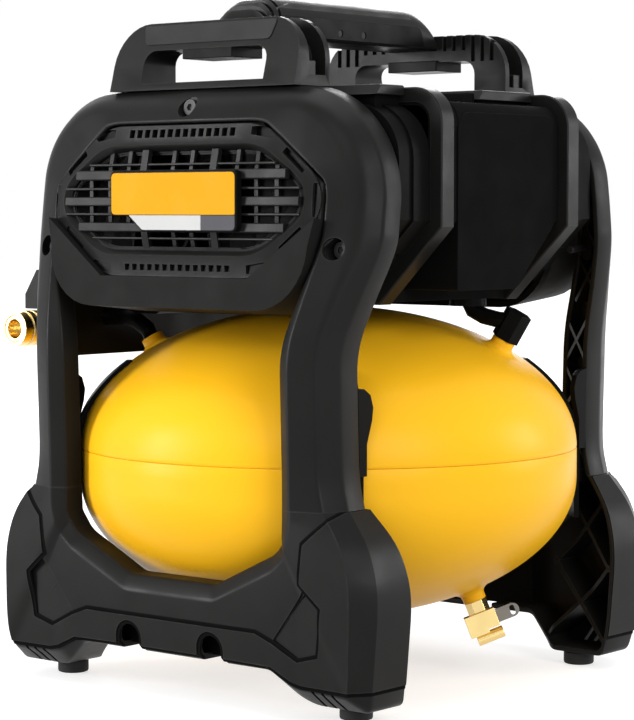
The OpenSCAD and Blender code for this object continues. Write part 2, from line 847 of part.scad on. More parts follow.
module cylinder_head() {
    color(alloy) translate([0, cyl_y, axis_z]) difference() {
        box([head_x0, -head_half, -head_half], [head_x0 + head_len, head_half, head_half]);
        for (k = [0:3])
            box([head_x0 + head_len - 10, -head_half - past, -head_half + 8 + k * 12],
                [head_x0 + head_len + past, head_half + past, -head_half + 13 + k * 12]);
    }
}

module intake_filter() {
    color(black) translate([head_x0 + filter_r, cyl_y, axis_z + head_half]) cylinder(r = filter_r, h = 14);
}

valve_h = 18;
valve_r = 8.5;
tube_r = 5;
collar_r = 11;
collar_h = 4.5;

function on_dome(az, r, up) =
    let (t = dome_tilt(r), q = r + up * sin(t)) [q * cos(az), q * sin(az), seam_z + dome_z(r) + up * cos(t)];

module check_valve() {
    color(black) on_upper(inlet_az, inlet_at) translate([0, 0, port_h])
        cylinder(r = valve_r, h = valve_h, $fn = 6);
}

// Route of the discharge tube from the check valve through the barrel's floor to the cylinder head
tube_x = head_x0 + 12;
tube_z = axis_z - 12;
tube_end = cyl_y + head_half;
tube_route = [on_dome(inlet_az, inlet_at, port_h + valve_h - tube_r - past),
    [tube_hole[0] + 17, tube_hole[1] + 7, deck_z - 10.5], [tube_hole[0] + 9, tube_hole[1] + 4, deck_z - 8.5],
    [tube_hole[0] + 3, tube_hole[1] + 1.5, deck_z - 5], [tube_hole[0], tube_hole[1], belly_z],
    [tube_hole[0], tube_hole[1], barrel_floor], [tube_hole[0] + 2, tube_end + 15.5, barrel_floor + 9],
    [tube_x - 5, tube_end + 14, tube_z - 17], [tube_x - 1.5, tube_end + 12, tube_z - 8],
    [tube_x, tube_end + 9, tube_z - 2], [tube_x, tube_end + 5, tube_z], [tube_x, tube_end, tube_z]];

module discharge_tube() {
    color(black) {
        difference() {
            tube_along(tube_route, tube_r);
            check_valve();
        }
        translate([tube_hole[0], tube_hole[1], belly_z - collar_h]) cylinder(r = collar_r, h = collar_h);
    }
}

board_x = -(barrel_half - skin_in);
board_y = [-45, 30];
board_z = [axis_z - 13, axis_z + 40];
board_gap = 8;
board_t = 1.6;

module control_board() {
    color([0.1, 0.35, 0.2]) {
        box([board_x + board_gap, board_y[0], board_z[0]],
            [board_x + board_gap + board_t, board_y[1], board_z[1]]);
        for (y = [board_y[0] + 6, board_y[1] - 6], z = [board_z[0] + 6, board_z[1] - 6])
            translate([0, y, z]) rod_x(3, board_x, board_x + board_gap + past);
        translate([0, (board_y[0] + board_y[1]) / 2, axis_z + 12])
            rod_x(8, board_x + board_gap, board_x + board_gap * 3.5);
    }
}

// Console at the left

console_in = -(barrel_half - 3);
console_face = console_in - console_d;
console_y0 = -90;
console_y1 = 84;
console_z0 = deck_z - 35;
console_z1 = deck_z + 18;
console_wall = 3;
console_mid = deck_z - 4;
pipe_z = deck_z - 17.4;
pipe_r = 5;
stem_r = 4;
switch_y = -68;
gauge_y = [-30, 12];
knob_y = 54;
switch_half = [11, 7];
coupler_x = console_in - console_d / 2;
nose_len = 16;
nose_cut = 10;
nose_z = pipe_z + 11.5;
arm_half = 40;
arm_z = deck_z - 10;
arm_top = belly_half + fit_gap - slope_x(0);
// Distance of the barrel's lower slope from the middle, at a height
function slope_x(z) = z - barrel_z0 - ring_step + barrel_half - barrel_cut - ring_step * tan(22.5);

module console() {
    color(charcoal) difference() {
        union() {
            box([console_face, console_y0, console_z0], [console_in, console_y1, console_z1]);
            along_y(console_y0 - nose_len, console_y0 + past) polygon([[console_in, nose_z],
                [console_face, nose_z], [console_face, console_z1 - nose_cut * 1.5],
                [console_face + nose_cut, console_z1], [console_in, console_z1]]);
            along_y(-arm_half, arm_half) polygon([[console_in - past, arm_z],
                [console_in - past, console_z1], [-slope_x(console_z1), console_z1],
                [-belly_half - fit_gap, arm_top],
                [-belly_half - fit_gap, deck_z - 2], [-belly_half - 14, arm_z]]);
        }
        box([console_face + console_wall, console_y0 + console_wall, console_z0 + console_wall],
            [console_in - console_wall, console_y1 - console_wall, console_z1 - console_wall]);
        for (y = concat(gauge_y, [knob_y])) translate([0, y, console_mid])
            rod_x(stem_r + 0.3, console_face - past, console_face + 6);
        translate([coupler_x, 0, pipe_z]) rod_y(pipe_r + 0.3, console_y0 - past, console_y0 + 6);
        translate([coupler_x, 0, pipe_z]) rod_y(pipe_r + 0.3, console_y1 - 6, console_y1 + past);
        box([console_face - past, switch_y - switch_half[0], console_mid - switch_half[1]],
            [console_face + 6, switch_y + switch_half[0], console_mid + switch_half[1]]);
        translate([0, outlet_end[1], outlet_end[2]]) rod_x(tube_r + 0.3, console_in - 6, console_in + past);
    }
}

module manifold() {
    color(brass) {
        translate([coupler_x, 0, pipe_z]) rod_y(pipe_r, console_y0, console_y1);
        for (y = concat(gauge_y, [knob_y])) {
            translate([coupler_x, y, pipe_z]) cylinder(r = stem_r, h = console_mid - pipe_z + stem_r);
            translate([0, y, console_mid]) rod_x(stem_r, console_face, coupler_x + stem_r);
        }
        translate([0, knob_y, console_mid]) rod_x(stem_r, console_face - 8, console_face);
    }
}

gauge_d = 9;
gauge_wall = 1.8;
dial_t = 0.8;
lens_t = 1.2;
needle_r = 1.2;
lens_x = console_face - gauge_d;
dial_x = console_face - 2;

module gauge_cases() {
    color(black) for (y = gauge_y) translate([0, y, console_mid]) difference() {
        rod_x(gauge_r, console_face - gauge_d, console_face);
        rod_x(gauge_r - gauge_wall, console_face - gauge_d - past, dial_x);
    }
}

module gauge_dials() {
    color(white) for (y = gauge_y) translate([0, y, console_mid]) difference() {
        rod_x(gauge_r - gauge_wall, dial_x - dial_t, dial_x);
        rod_x(needle_r + run_gap, dial_x - dial_t - past, dial_x + past);
    }
}

module gauge_lenses() {
    color([0.8, 0.9, 0.95, 0.4]) for (y = gauge_y) translate([0, y, console_mid])
        rod_x(gauge_r - gauge_wall, lens_x, lens_x + lens_t);
}

// A pointer that rests at the lower left of its dial
module needle(y) {
    color([0.75, 0.1, 0.08]) translate([dial_x, y, console_mid]) {
        rod_x(needle_r, -3.4, -fit_gap);
        rotate([45, 0, 0]) box([-2.4, -0.7, -gauge_r * 0.68], [-1.6, 0.7, gauge_r * 0.2]);
    }
}

module tank_needle() {
    needle(gauge_y[0]);
}

module outlet_needle() {
    needle(gauge_y[1]);
}

knob_len = 13;

module regulator_knob() {
    color(black) translate([0, knob_y, console_mid]) difference() {
        rod_x(knob_r, console_face - 0.4 - knob_len, console_face - 0.4);
        rod_x(stem_r + run_gap, console_face - 9, console_face);
        for (a = [0:30:330]) rotate([a, 0, 0])
            translate([0, knob_r + 0.8, 0]) rod_x(2, console_face - knob_len - 2, console_face - 3);
    }
}

rocker_tilt = 9;
rocker_pin = 1.5;
rocker_half = [8.6, 4.6];
bezel_t = 1.8;

module at_switch() {
    translate([console_face, switch_y, console_mid]) children();
}

module switch_bezel() {
    color(black) at_switch() difference() {
        union() {
            box([-bezel_t, -switch_half[0] - 3, -switch_half[1] - 3],
                [0, switch_half[0] + 3, switch_half[1] + 3]);
            box([-bezel_t, -switch_half[0] + 0.3, -switch_half[1] + 0.3],
                [6, switch_half[0] - 0.3, switch_half[1] - 0.3]);
        }
        box([-bezel_t - past, -rocker_half[0] - 0.5, -rocker_half[1] - 0.4],
            [6 + past, rocker_half[0] + 0.5, rocker_half[1] + 0.4]);
        translate([2, 0, -rocker_half[1] - 2])
            cylinder(r = rocker_pin + run_gap, h = rocker_half[1] * 2 + 4);
    }
}

module switch_rocker() {
    color([0.7, 0.08, 0.06]) at_switch() translate([2, 0, 0]) {
        rotate([0, 0, rocker_tilt])
            box([-4.2, -rocker_half[0] + 0.6, -rocker_half[1]], [1.8, rocker_half[0] - 0.6, rocker_half[1]]);
        translate([0, 0, -rocker_half[1] - 1.4]) cylinder(r = rocker_pin, h = rocker_half[1] * 2 + 2.8);
    }
}

coupler_r = 8;
coupler_y = console_y0 - 35;
socket_len = 13;
flange_t = 3;
sleeve_groove = 1.6;
sleeve_len = console_y0 - flange_t - coupler_y - sleeve_travel - fit_gap * 1.5;
plunger_bore = 4;

module at_coupler() {
    translate([coupler_x, 0, pipe_z]) children();
}

module coupler_body() {
    color(brass) at_coupler() difference() {
        union() {
            rod_y(coupler_r, coupler_y + 0.5, console_y0);
            translate([0, console_y0, 0]) rotate([90, 0, 0]) cylinder(r = 11, h = flange_t, $fn = 6);
        }
        rod_y(socket_r, coupler_y - past, coupler_y + 0.5 + socket_len);
        rod_y(plunger_bore, coupler_y, console_y0 - 2);
    }
}

module coupler_sleeve() {
    color(brass) at_coupler() difference() {
        rod_y(sleeve_r, coupler_y, coupler_y + sleeve_len);
        rod_y(coupler_r + run_gap, coupler_y - past, coupler_y + sleeve_len + past);
        for (y = [coupler_y + 6, coupler_y + 12]) difference() {
            rod_y(sleeve_r + past, y, y + sleeve_groove);
            rod_y(sleeve_r - sleeve_groove / 2, y - past, y + sleeve_groove + past);
        }
    }
}

plunger_y = coupler_y + 0.5 + socket_len;

module coupler_valve() {
    color(steel) at_coupler() rod_y(plunger_bore - run_gap, plunger_y, plunger_y + 5);
}

pull_r = 2;
valve_len = 14;

module safety_valve() {
    color(brass) at_coupler() difference() {
        union() {
            translate([0, console_y1 + 6, 0]) rotate([90, 0, 0]) cylinder(r = 7.5, h = 6, $fn = 6);
            rod_y(5.5, console_y1 + 5, console_y1 + valve_len);
        }
        rod_y(pull_r + run_gap, console_y1 + 2, console_y1 + valve_len + past);
    }
}

ring_r = 8;

module safety_pull() {
    color(steel) at_coupler() {
        rod_y(pull_r, console_y1 + 2.5, console_y1 + valve_len + 4);
        translate([0, console_y1 + valve_len + 3 + ring_r, 0]) rotate_extrude($fn = 40)
            translate([ring_r, 0]) circle(r = 1.1, $fn = 16);
    }
}

outlet_end = [console_in - 4, -55, deck_z - 12];
// Route of the tube from the tank's outlet port to the console
outlet_route = [on_dome(outlet_az, outlet_at, port_h), on_dome(outlet_az, outlet_at, port_h + 5),
    [console_in + 25, outlet_end[1] + 1, outlet_end[2] - 2], [console_in + 18, outlet_end[1], outlet_end[2]],
    [console_in + 11, outlet_end[1], outlet_end[2]], outlet_end];

module outlet_tube() {
    color(black) tube_along(outlet_route, tube_r);
}

// Battery in the rear hood

dock_y0 = case_back + 10;
pack_y0 = dock_y0 + 7;
foot_neck = 18;
foot_head = 24;
rail_t = 2.2;
pack_low = axis_z - 31;
pack_top = pack_low + pack_h;
dock_end = hood_face + 1;

module battery_dock() {
    low = axis_z + bay_low;
    high = low + bay_h;
    color(black) difference() {
        union() {
            box([-bay_w / 2 - dock_wall, dock_y0, low - dock_wall],
                [bay_w / 2 + dock_wall, dock_end, high + dock_wall]);
            rear() hood_place() along_y(recess_d - 2, recess_d) polygon([
                [-bay_w / 2 - dock_flange, bay_low - dock_flange],
                [bay_w / 2 + dock_flange, bay_low - dock_flange],
                [bay_w / 2 + dock_flange, bay_low + bay_h + dock_flange],
                [-bay_w / 2 - dock_flange, bay_low + bay_h + dock_flange]]);
        }
        difference() {
            box([-bay_w / 2, dock_y0 + dock_wall, low], [bay_w / 2, tank_r, high]);
            for (side = [-1, 1])
                box([side > 0 ? foot_neck + fit_gap : -bay_w, dock_y0, pack_top + fit_gap],
                    [side > 0 ? bay_w : -foot_neck - fit_gap, dock_end - 4, pack_top + fit_gap + rail_t]);
        }
    }
}

button_half = [12, 6];
button_z = axis_z + 8;
button_d = 7;
pocket_d = 9;

module battery_pack() {
    end = pack_y0 + pack_len;
    color(charcoal) difference() {
        union() {
            box([-pack_w / 2, pack_y0, pack_low], [pack_w / 2, end, pack_top]);
            box([-foot_neck, pack_y0, pack_top], [foot_neck, end - 14, pack_top + rail_t + fit_gap * 2]);
            box([-foot_head, pack_y0, pack_top + rail_t + fit_gap * 2],
                [foot_head, end - 14, pack_top + rail_t + fit_gap * 2 + 4]);
        }
        box([-button_half[0] - 0.3, end - pocket_d, button_z - button_half[1] - 0.3],
            [button_half[0] + 0.3, end + past, button_z + button_half[1] + 0.3]);
    }
}

module battery_button() {
    end = pack_y0 + pack_len;
    color(yellow) box([-button_half[0], end - pocket_d + 4, button_z - button_half[1]],
        [button_half[0], end - pocket_d + 4 + button_d, button_z + button_half[1]]);
}

// Drain valve under the tank

drain_spin = 164;
neck_r = 6.8;
neck_h = 7;
block_z0 = port_h + neck_h;
block_h = 13;
block_x = [-10.5, 1.2];
block_y = [-2, 9];
seat_end = 8.5;
seat_h = 11;
pivot_x = 4.2;
pivot_z = block_z0 + 6.4;
stem_pin = 2;
stem_in = 3;
hub_half = [2.8, 4.2];
hub_y = [-6.6, -2.4];
lever_t = 2.2;
lever_half = 4.1;
lever_eye = 1.5;
outlet_r = 3.5;
outlet_bore = 2;
outlet_x = [-7.4, 9.2];

module at_drain() {
    on_lower(drain_az, drain_r) rotate([0, 0, drain_spin]) children();
}

module at_pivot() {
    at_drain() translate([pivot_x, 0, pivot_z]) children();
}

module drain_body() {
    color(brass) difference() {
        at_drain() {
            translate([0, 0, port_h]) cylinder(r = neck_r, h = neck_h + past, $fn = 6);
            box([block_x[0], block_y[0], block_z0], [block_x[1], block_y[1], block_z0 + block_h]);
            box([0, block_y[0], block_z0], [seat_end, block_y[1], block_z0 + seat_h]);
            translate([0, outlet_r, block_z0 + block_h + outlet_r - past])
                rod_x(outlet_r, outlet_x[0], outlet_x[1]);
        }
        at_pivot() rod_y(stem_pin + run_gap, block_y[0] - past, stem_in + run_gap);
        at_drain() translate([0, outlet_r, block_z0 + block_h + outlet_r - past])
            rod_x(outlet_bore, 0, outlet_x[1] + past);
    }
}

module drain_stem() {
    color(steel) at_pivot() rod_y(stem_pin, hub_y[0], stem_in);
}

module drain_hub() {
    color(black) at_pivot() difference() {
        box([-hub_half[0], hub_y[0], -hub_half[1]], [hub_half[0], hub_y[1], hub_half[1]]);
        rod_y(stem_pin, hub_y[0] - past, hub_y[1] + past);
    }
}

module drain_lever() {
    end = lever_len - lever_half;
    low = hub_y[0] + 1;
    color([0.5, 0.5, 0.5]) at_pivot() difference() {
        union() {
            box([hub_half[0], low, -lever_half], [end, low + lever_t, lever_half]);
            translate([end, 0, 0]) rod_y(lever_half, low, low + lever_t);
        }
        for (z = [-lever_eye, lever_eye]) translate([end, 0, z])
            rod_y(lever_eye, low - past, low + lever_t + past);
        box([end - lever_eye, low - past, -lever_eye], [end + lever_eye, low + lever_t + past, lever_eye]);
    }
}

tank_upper();
tank_lower();
front_frame();
rear_frame();
front_base();
rear_base();
rubber_feet();
frame_screws();
front_handle();
rear_handle();
carry_handle();
barrel_cover();
front_shroud();
rear_shroud();
front_grille();
badge_plate();
badge_strip();
front_cradle();
rear_cradle();
motor_stator();
motor_rotor();
drive_shaft();
shaft_bearings();
cooling_fan();
crankcase();
crank_disc();
connecting_rod();
piston();
piston_cup();
cylinder_sleeve();
valve_plate();
cylinder_head();
intake_filter();
discharge_tube();
check_valve();
control_board();
console();
manifold();
gauge_cases();
gauge_dials();
gauge_lenses();
tank_needle();
outlet_needle();
regulator_knob();
switch_bezel();
switch_rocker();
coupler_body();
coupler_sleeve();
coupler_valve();
safety_valve();
safety_pull();
battery_dock();
battery_pack();
battery_button();
drain_body();
drain_stem();
drain_hub();
drain_lever();
outlet_tube();
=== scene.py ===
import json
import math

import bmesh
import bpy
import numpy as np
from mathutils import Matrix, Vector

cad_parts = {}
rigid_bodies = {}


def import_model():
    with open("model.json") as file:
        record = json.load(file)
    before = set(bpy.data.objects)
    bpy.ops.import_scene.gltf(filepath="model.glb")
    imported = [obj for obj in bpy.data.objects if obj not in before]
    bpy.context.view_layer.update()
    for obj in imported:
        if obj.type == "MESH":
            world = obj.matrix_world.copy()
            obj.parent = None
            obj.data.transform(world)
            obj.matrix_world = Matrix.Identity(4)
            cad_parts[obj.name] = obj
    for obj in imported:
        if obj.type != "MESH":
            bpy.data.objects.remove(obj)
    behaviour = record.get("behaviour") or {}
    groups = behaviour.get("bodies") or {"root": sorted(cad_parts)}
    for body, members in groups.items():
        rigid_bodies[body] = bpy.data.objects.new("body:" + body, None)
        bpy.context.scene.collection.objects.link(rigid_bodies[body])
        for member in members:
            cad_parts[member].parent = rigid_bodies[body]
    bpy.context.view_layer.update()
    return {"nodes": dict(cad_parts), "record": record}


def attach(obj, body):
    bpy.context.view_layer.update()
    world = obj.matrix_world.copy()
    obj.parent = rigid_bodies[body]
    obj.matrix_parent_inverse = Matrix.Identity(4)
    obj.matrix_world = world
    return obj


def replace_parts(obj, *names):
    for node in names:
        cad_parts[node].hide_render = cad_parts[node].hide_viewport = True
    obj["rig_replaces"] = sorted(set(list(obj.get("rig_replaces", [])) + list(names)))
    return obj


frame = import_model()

MM = 0.001
NODES = frame["nodes"]
SLOT_OF = {s["node"]: s["material_slot"] for s in frame["record"]["subparts"]}
LINK = bpy.context.scene.collection.objects.link


# Materials

MATS = {}


class Shader:
    """A material under construction, with short calls for its nodes."""

    def __init__(self, name):
        self.material = MATS[name] = bpy.data.materials.new(name)
        self.material.use_nodes = True
        self.tree = self.material.node_tree
        self.tree.nodes.clear()
        self.out = self.node("ShaderNodeOutputMaterial")
        self.bsdf = self.node("ShaderNodeBsdfPrincipled")
        self.link(self.bsdf.outputs[0], self.out.inputs[0])
        self.coords = self.node("ShaderNodeTexCoord").outputs["Object"]

    def node(self, kind, **settings):
        made = self.tree.nodes.new(kind)
        for key, value in settings.items():
            setattr(made, key, value)
        return made

    def link(self, a, b):
        self.tree.links.new(a, b)

    def noise(self, scale, detail=3.0, stretch=None):
        tex = self.node("ShaderNodeTexNoise")
        tex.inputs["Scale"].default_value = scale
        tex.inputs["Detail"].default_value = detail
        source = self.coords
        if stretch:
            mapping = self.node("ShaderNodeMapping")
            mapping.inputs["Scale"].default_value = stretch
            self.link(source, mapping.inputs["Vector"])
            source = mapping.outputs["Vector"]
        self.link(source, tex.inputs["Vector"])
        return tex.outputs["Fac"]

    def span(self, fac, low, high, start=0.3, stop=0.7):
        ranged = self.node("ShaderNodeMapRange")
        for key, value in (("From Min", start), ("From Max", stop), ("To Min", low), ("To Max", high)):
            ranged.inputs[key].default_value = value
        self.link(fac, ranged.inputs["Value"])
        return ranged.outputs["Result"]

    def blend(self, fac, a, b):
        mix = self.node("ShaderNodeMix", data_type="RGBA")
        self.link(fac, mix.inputs["Factor"])
        for value, socket in ((a, mix.inputs["A"]), (b, mix.inputs["B"])):
            if isinstance(value, tuple):
                socket.default_value = (*value, 1.0)
            else:
                self.link(value, socket)
        return mix.outputs["Result"]

    def bump(self, height, strength, distance):
        made = self.node("ShaderNodeBump")
        made.inputs["Strength"].default_value = strength
        made.inputs["Distance"].default_value = distance
        self.link(height, made.inputs["Height"])
        self.link(made.outputs["Normal"], self.bsdf.inputs["Normal"])

    def edges(self, radius):
        """1 where the surface turns sharply, 0 on flats."""
        bevel = self.node("ShaderNodeBevel", samples=4)
        bevel.inputs["Radius"].default_value = radius
        geometry = self.node("ShaderNodeNewGeometry")
        dot = self.node("ShaderNodeVectorMath", operation="DOT_PRODUCT")
        self.link(bevel.outputs["Normal"], dot.inputs[0])
        self.link(geometry.outputs["Normal"], dot.inputs[1])
        return self.span(dot.outputs["Value"], 1.0, 0.0, 0.86, 0.99)

    def set(self, **values):
        for key, value in values.items():
            self.bsdf.inputs[key.replace("_", " ")].default_value = value


def tint(color, k):
    return tuple(min(1.0, c * k) for c in color)


def surface(name, color, rough, vary=0.1, patch=22.0, grain=1500.0, relief=0.1, depth=0.0002,
            rough_vary=0.07, wear=None, stretch=None, gloss=0.5, metal=0.0):
    """A solid finish: patchy colour, uneven gloss, fine relief and, if asked, lighter edges that are partly
    wear and partly a painted highlight.
    """
    s = Shader(name)
    color_out = s.blend(s.span(s.noise(patch, 4.0), 0.0, 1.0), tint(color, 1 - vary), tint(color, 1 + vary))
    if wear:
        # Sharp edges are painted lighter here: partly rubbed wear, partly a painted highlight along each
        # edge.
        rub_and_highlight = s.node("ShaderNodeMath", operation="MULTIPLY")
        s.link(s.edges(0.0012), rub_and_highlight.inputs[0])
        s.link(s.span(s.noise(90.0, 5.0), 0.1, 0.75), rub_and_highlight.inputs[1])
        color_out = s.blend(rub_and_highlight.outputs[0], color_out, wear)
    s.link(color_out, s.bsdf.inputs["Base Color"])
    s.link(s.span(s.noise(patch * 2.3, 5.0), rough - rough_vary, rough + rough_vary),
           s.bsdf.inputs["Roughness"])
    s.bump(s.noise(grain, 2.0, stretch), relief, depth)
    s.set(Specular_IOR_Level=gloss, Metallic=metal)


PLATE = {"grain": 1800.0, "relief": 0.05, "gloss": 0.06}
# The edge colours given below paint sharp edges lighter, partly as wear and partly as a painted highlight.
surface("charcoal", (0.0092, 0.0091, 0.0088), 0.35, grain=2600.0, relief=0.12,
        wear=(0.045, 0.044, 0.042), gloss=0.085)
surface("matte", (0.0042, 0.0042, 0.0041), 0.78, vary=0.05, grain=2600.0, relief=0.12,
        wear=(0.012, 0.012, 0.0117), gloss=0.02)
surface("black", (0.0036, 0.0036, 0.0035), 0.34, grain=2200.0,
        wear=(0.014, 0.0137, 0.0133), gloss=0.03)
surface("tank_yellow", (0.94, 0.49, 0.012), 0.36, vary=0.02, patch=9.0, grain=420.0,
        relief=0.05, depth=0.0003, rough_vary=0.04, gloss=0.12)
surface("badge_yellow", (0.72, 0.33, 0.005), 0.5, vary=0.02, **PLATE)
surface("badge_grey", (0.54, 0.54, 0.53), 0.5, vary=0.02, **PLATE)
surface("badge_dark", (0.085, 0.085, 0.095), 0.5, vary=0.04, **PLATE)
surface("screw", (0.045, 0.045, 0.046), 0.55, vary=0.12, relief=0.15,
        wear=(0.1, 0.1, 0.103), metal=1.0)
surface("brass", (0.83, 0.63, 0.27), 0.24, vary=0.06, grain=900.0, relief=0.12,
        stretch=(1.0, 6.0, 1.0), wear=(0.93, 0.77, 0.42), metal=1.0)
surface("steel", (0.52, 0.53, 0.55), 0.33, vary=0.08, grain=1200.0, metal=1.0)
surface("alloy", (0.6, 0.61, 0.62), 0.45, vary=0.07, grain=1600.0, relief=0.2, metal=1.0)
surface("rubber", (0.016, 0.016, 0.016), 0.68, grain=1700.0, relief=0.25, gloss=0.25)
surface("dial", (0.86, 0.86, 0.83), 0.55, vary=0.02, grain=2500.0, relief=0.03)
surface("red", (0.55, 0.03, 0.02), 0.38, vary=0.06, grain=2000.0, relief=0.08)
surface("board", (0.02, 0.13, 0.05), 0.45, vary=0.12, patch=160.0, grain=600.0, relief=0.2)
surface("ink", (0.012, 0.012, 0.013), 0.6, vary=0.05, grain=2500.0, relief=0.05)
surface("print", (0.62, 0.62, 0.6), 0.55, vary=0.03, grain=2500.0, relief=0.05)
surface("lever", (0.2, 0.2, 0.2), 0.5, vary=0.08, grain=1900.0, relief=0.15, wear=(0.35, 0.35, 0.35))


def lens_material():
    s = Shader("lens")
    s.link(s.span(s.noise(60.0), 0.04, 0.09), s.bsdf.inputs["Roughness"])
    s.set(Base_Color=(0.95, 0.97, 1.0, 1.0), Transmission_Weight=1.0, IOR=1.3)
    s.bump(s.noise(300.0), 0.02, 0.0001)


# Distances from the middle, in metres, where the painted shade on the shroud gives way to plain charcoal.
SHROUD_SHADE_EDGE = (0.0955, 0.0965)


def shroud_material():
    """Charcoal on the face under the hood, and a painted shade of near black where the shroud meets the
    barrel.
    """
    s = Shader("shroud")
    place = s.node("ShaderNodeSeparateXYZ")
    s.link(s.coords, place.inputs[0])
    far = s.node("ShaderNodeMath", operation="ABSOLUTE")
    s.link(place.outputs["Y"], far.inputs[0])
    cloud = s.span(s.noise(22.0, 4.0), 0.0, 1.0)
    # dark is the charcoal in painted shade, for the shroud beside the barrel; pale is the charcoal itself.
    dark = s.blend(cloud, (0.0034, 0.0034, 0.0033), (0.0042, 0.0042, 0.004))
    pale = s.blend(cloud, (0.0101, 0.01, 0.0096), (0.0123, 0.0122, 0.0118))
    clear_of_painted_shade = s.span(far.outputs[0], 0.0, 1.0, *SHROUD_SHADE_EDGE)
    s.link(s.blend(clear_of_painted_shade, dark, pale), s.bsdf.inputs["Base Color"])
    s.link(s.span(s.noise(50.0, 5.0), 0.5, 0.62), s.bsdf.inputs["Roughness"])
    s.bump(s.noise(2600.0, 2.0), 0.12, 0.0002)
    s.set(Specular_IOR_Level=0.04)


lens_material()
shroud_material()


# Mesh tools. Sizes are in millimetres until a mesh is made. Points within WELD metres are one, edges that
# turn more than SHARP degrees stay sharp, and a rounded corner takes at most CORNER_SHARE of an edge.

WELD, SHARP, CORNER_SHARE = 2e-6, 32.0, 0.46


def linked(name, data):
    obj = bpy.data.objects.new(name, data)
    LINK(obj)
    return obj


def mesh_object(name, verts, faces):
    mesh = bpy.data.meshes.new(name)
    mesh.from_pydata([tuple(v) for v in np.asarray(verts, float) * MM], [], [tuple(f) for f in faces])
    mesh.validate()
    return linked(name, mesh)


def applied(obj):
    """obj with its modifiers made part of its mesh."""
    bpy.context.view_layer.update()
    evaluated = obj.evaluated_get(bpy.context.evaluated_depsgraph_get())
    mesh = bpy.data.meshes.new_from_object(evaluated)
    obj.modifiers.clear()
    old = obj.data
    obj.data = mesh
    bpy.data.meshes.remove(old)
    return obj


def boolean(obj, cutter, operation="DIFFERENCE", own=False):
    """obj cut by, joined with or kept within a cutter, which is used up."""
    shade(cutter)
    mod = obj.modifiers.new("cut", "BOOLEAN")
    mod.object = cutter
    mod.operation = operation
    mod.solver = "EXACT"
    mod.use_self = own
    applied(obj)
    bpy.data.objects.remove(cutter)
    return obj


def shade(obj, angle=SHARP):
    """obj with its faces outwards and smooth, and its sharp edges marked."""
    bm = bmesh.new()
    bm.from_mesh(obj.data)
    bmesh.ops.remove_doubles(bm, verts=bm.verts, dist=WELD)
    bmesh.ops.recalc_face_normals(bm, faces=bm.faces)
    limit = math.radians(angle)
    for e in bm.edges:
        e.smooth = len(e.link_faces) == 2 and e.calc_face_angle(0.0) < limit
    for f in bm.faces:
        f.smooth = True
    bm.to_mesh(obj.data)
    bm.free()
    return obj


def join(name, objs):
    bm = bmesh.new()
    for o in objs:
        bm.from_mesh(o.data)
        bpy.data.objects.remove(o)
    mesh = bpy.data.meshes.new(name)
    bm.to_mesh(mesh)
    bm.free()
    return linked(name, mesh)


def mirrored(obj, name, axis):
    """A copy of obj, mirrored across the plane through the origin that axis names."""
    twin = linked(name, obj.data.copy())
    flip = Matrix.Identity(4)
    flip[axis][axis] = -1.0
    twin.data.transform(flip)
    twin.data.flip_normals()
    return twin


def both_sides(obj):
    twin = mirrored(obj, obj.name + "_twin", 0)
    return join(obj.name, [obj, twin])


def piece(obj, slot, *nodes, body="chassis", angle=SHARP, bevel=0.0, segments=2):
    """Finishes obj as a piece of the part, which may stand for CAD nodes."""
    shade(obj, angle)
    if bevel:
        add_bevel(obj, bevel, segments)
    obj.data.materials.clear()
    obj.data.materials.append(MATS[slot])
    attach(obj, body)
    if nodes:
        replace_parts(obj, *nodes)
    return obj


def add_bevel(obj, width, segments=2):
    mod = obj.modifiers.new("bevel", "BEVEL")
    mod.width = width * MM
    mod.segments = segments
    mod.limit_method = "ANGLE"
    mod.angle_limit = math.radians(SHARP)
    mod.harden_normals = True
    mod.miter_outer = "MITER_ARC"


FINISH = {"frame_screws": "screw", "front_shroud": "shroud", "rear_shroud": "shroud"}


def dress(node, bevel):
    """A CAD node keeps its mesh and gets rounded edges and its material."""
    obj = NODES[node]
    weld = obj.modifiers.new("weld", "WELD")
    weld.merge_threshold = WELD
    flat = obj.modifiers.new("flat", "DECIMATE")
    flat.decimate_type = "DISSOLVE"
    flat.angle_limit = math.radians(1.0)
    if bevel:
        add_bevel(obj, bevel)
        even = obj.modifiers.new("even", "WEIGHTED_NORMAL")
        even.mode = "FACE_AREA"
        even.weight = 50
    for f in obj.data.polygons:
        f.use_smooth = True
    obj.data.materials.clear()
    obj.data.materials.append(MATS[FINISH.get(node, SLOT_OF[node])])


def bezier(a, p, b, n):
    t = np.linspace(0.0, 1.0, n + 1)[:, None]
    return (1 - t) ** 2 * a + 2 * t * (1 - t) * p + t ** 2 * b


def rounded(points, radii, counts):
    """A closed outline with its corners rounded by radii."""
    pts = np.asarray(points, float)
    out = []
    for j, p in enumerate(pts):
        a, b = pts[j - 1], pts[(j + 1) % len(pts)]
        la, lb = np.linalg.norm(a - p), np.linalg.norm(b - p)
        ta, tb = min(radii[j] / la, CORNER_SHARE), min(radii[j] / lb, CORNER_SHARE)
        out.append(bezier(p + (a - p) * ta, p, p + (b - p) * tb, counts[j]))
    return np.concatenate(out)


def loft(name, rings, closed=False):
    """A body through rings of points, with flat ends unless it closes on itself."""
    n, k = len(rings), len(rings[0])
    faces = []
    for i in range(n if closed else n - 1):
        a, b = i * k, ((i + 1) % n) * k
        faces += [(a + j, a + (j + 1) % k, b + (j + 1) % k, b + j) for j in range(k)]
    if not closed:
        faces += [tuple(range(k))[::-1], tuple((n - 1) * k + j for j in range(k))]
    return mesh_object(name, np.concatenate(rings), faces)


def prism(name, outline, low, high, frame_of):
    """A straight body: outline in two directions, low to high in the third, placed by frame_of."""
    pts = np.asarray(outline, float)
    rings = [np.array([frame_of(p[0], p[1], d) for p in pts]) for d in (low, high)]
    return loft(name, rings)


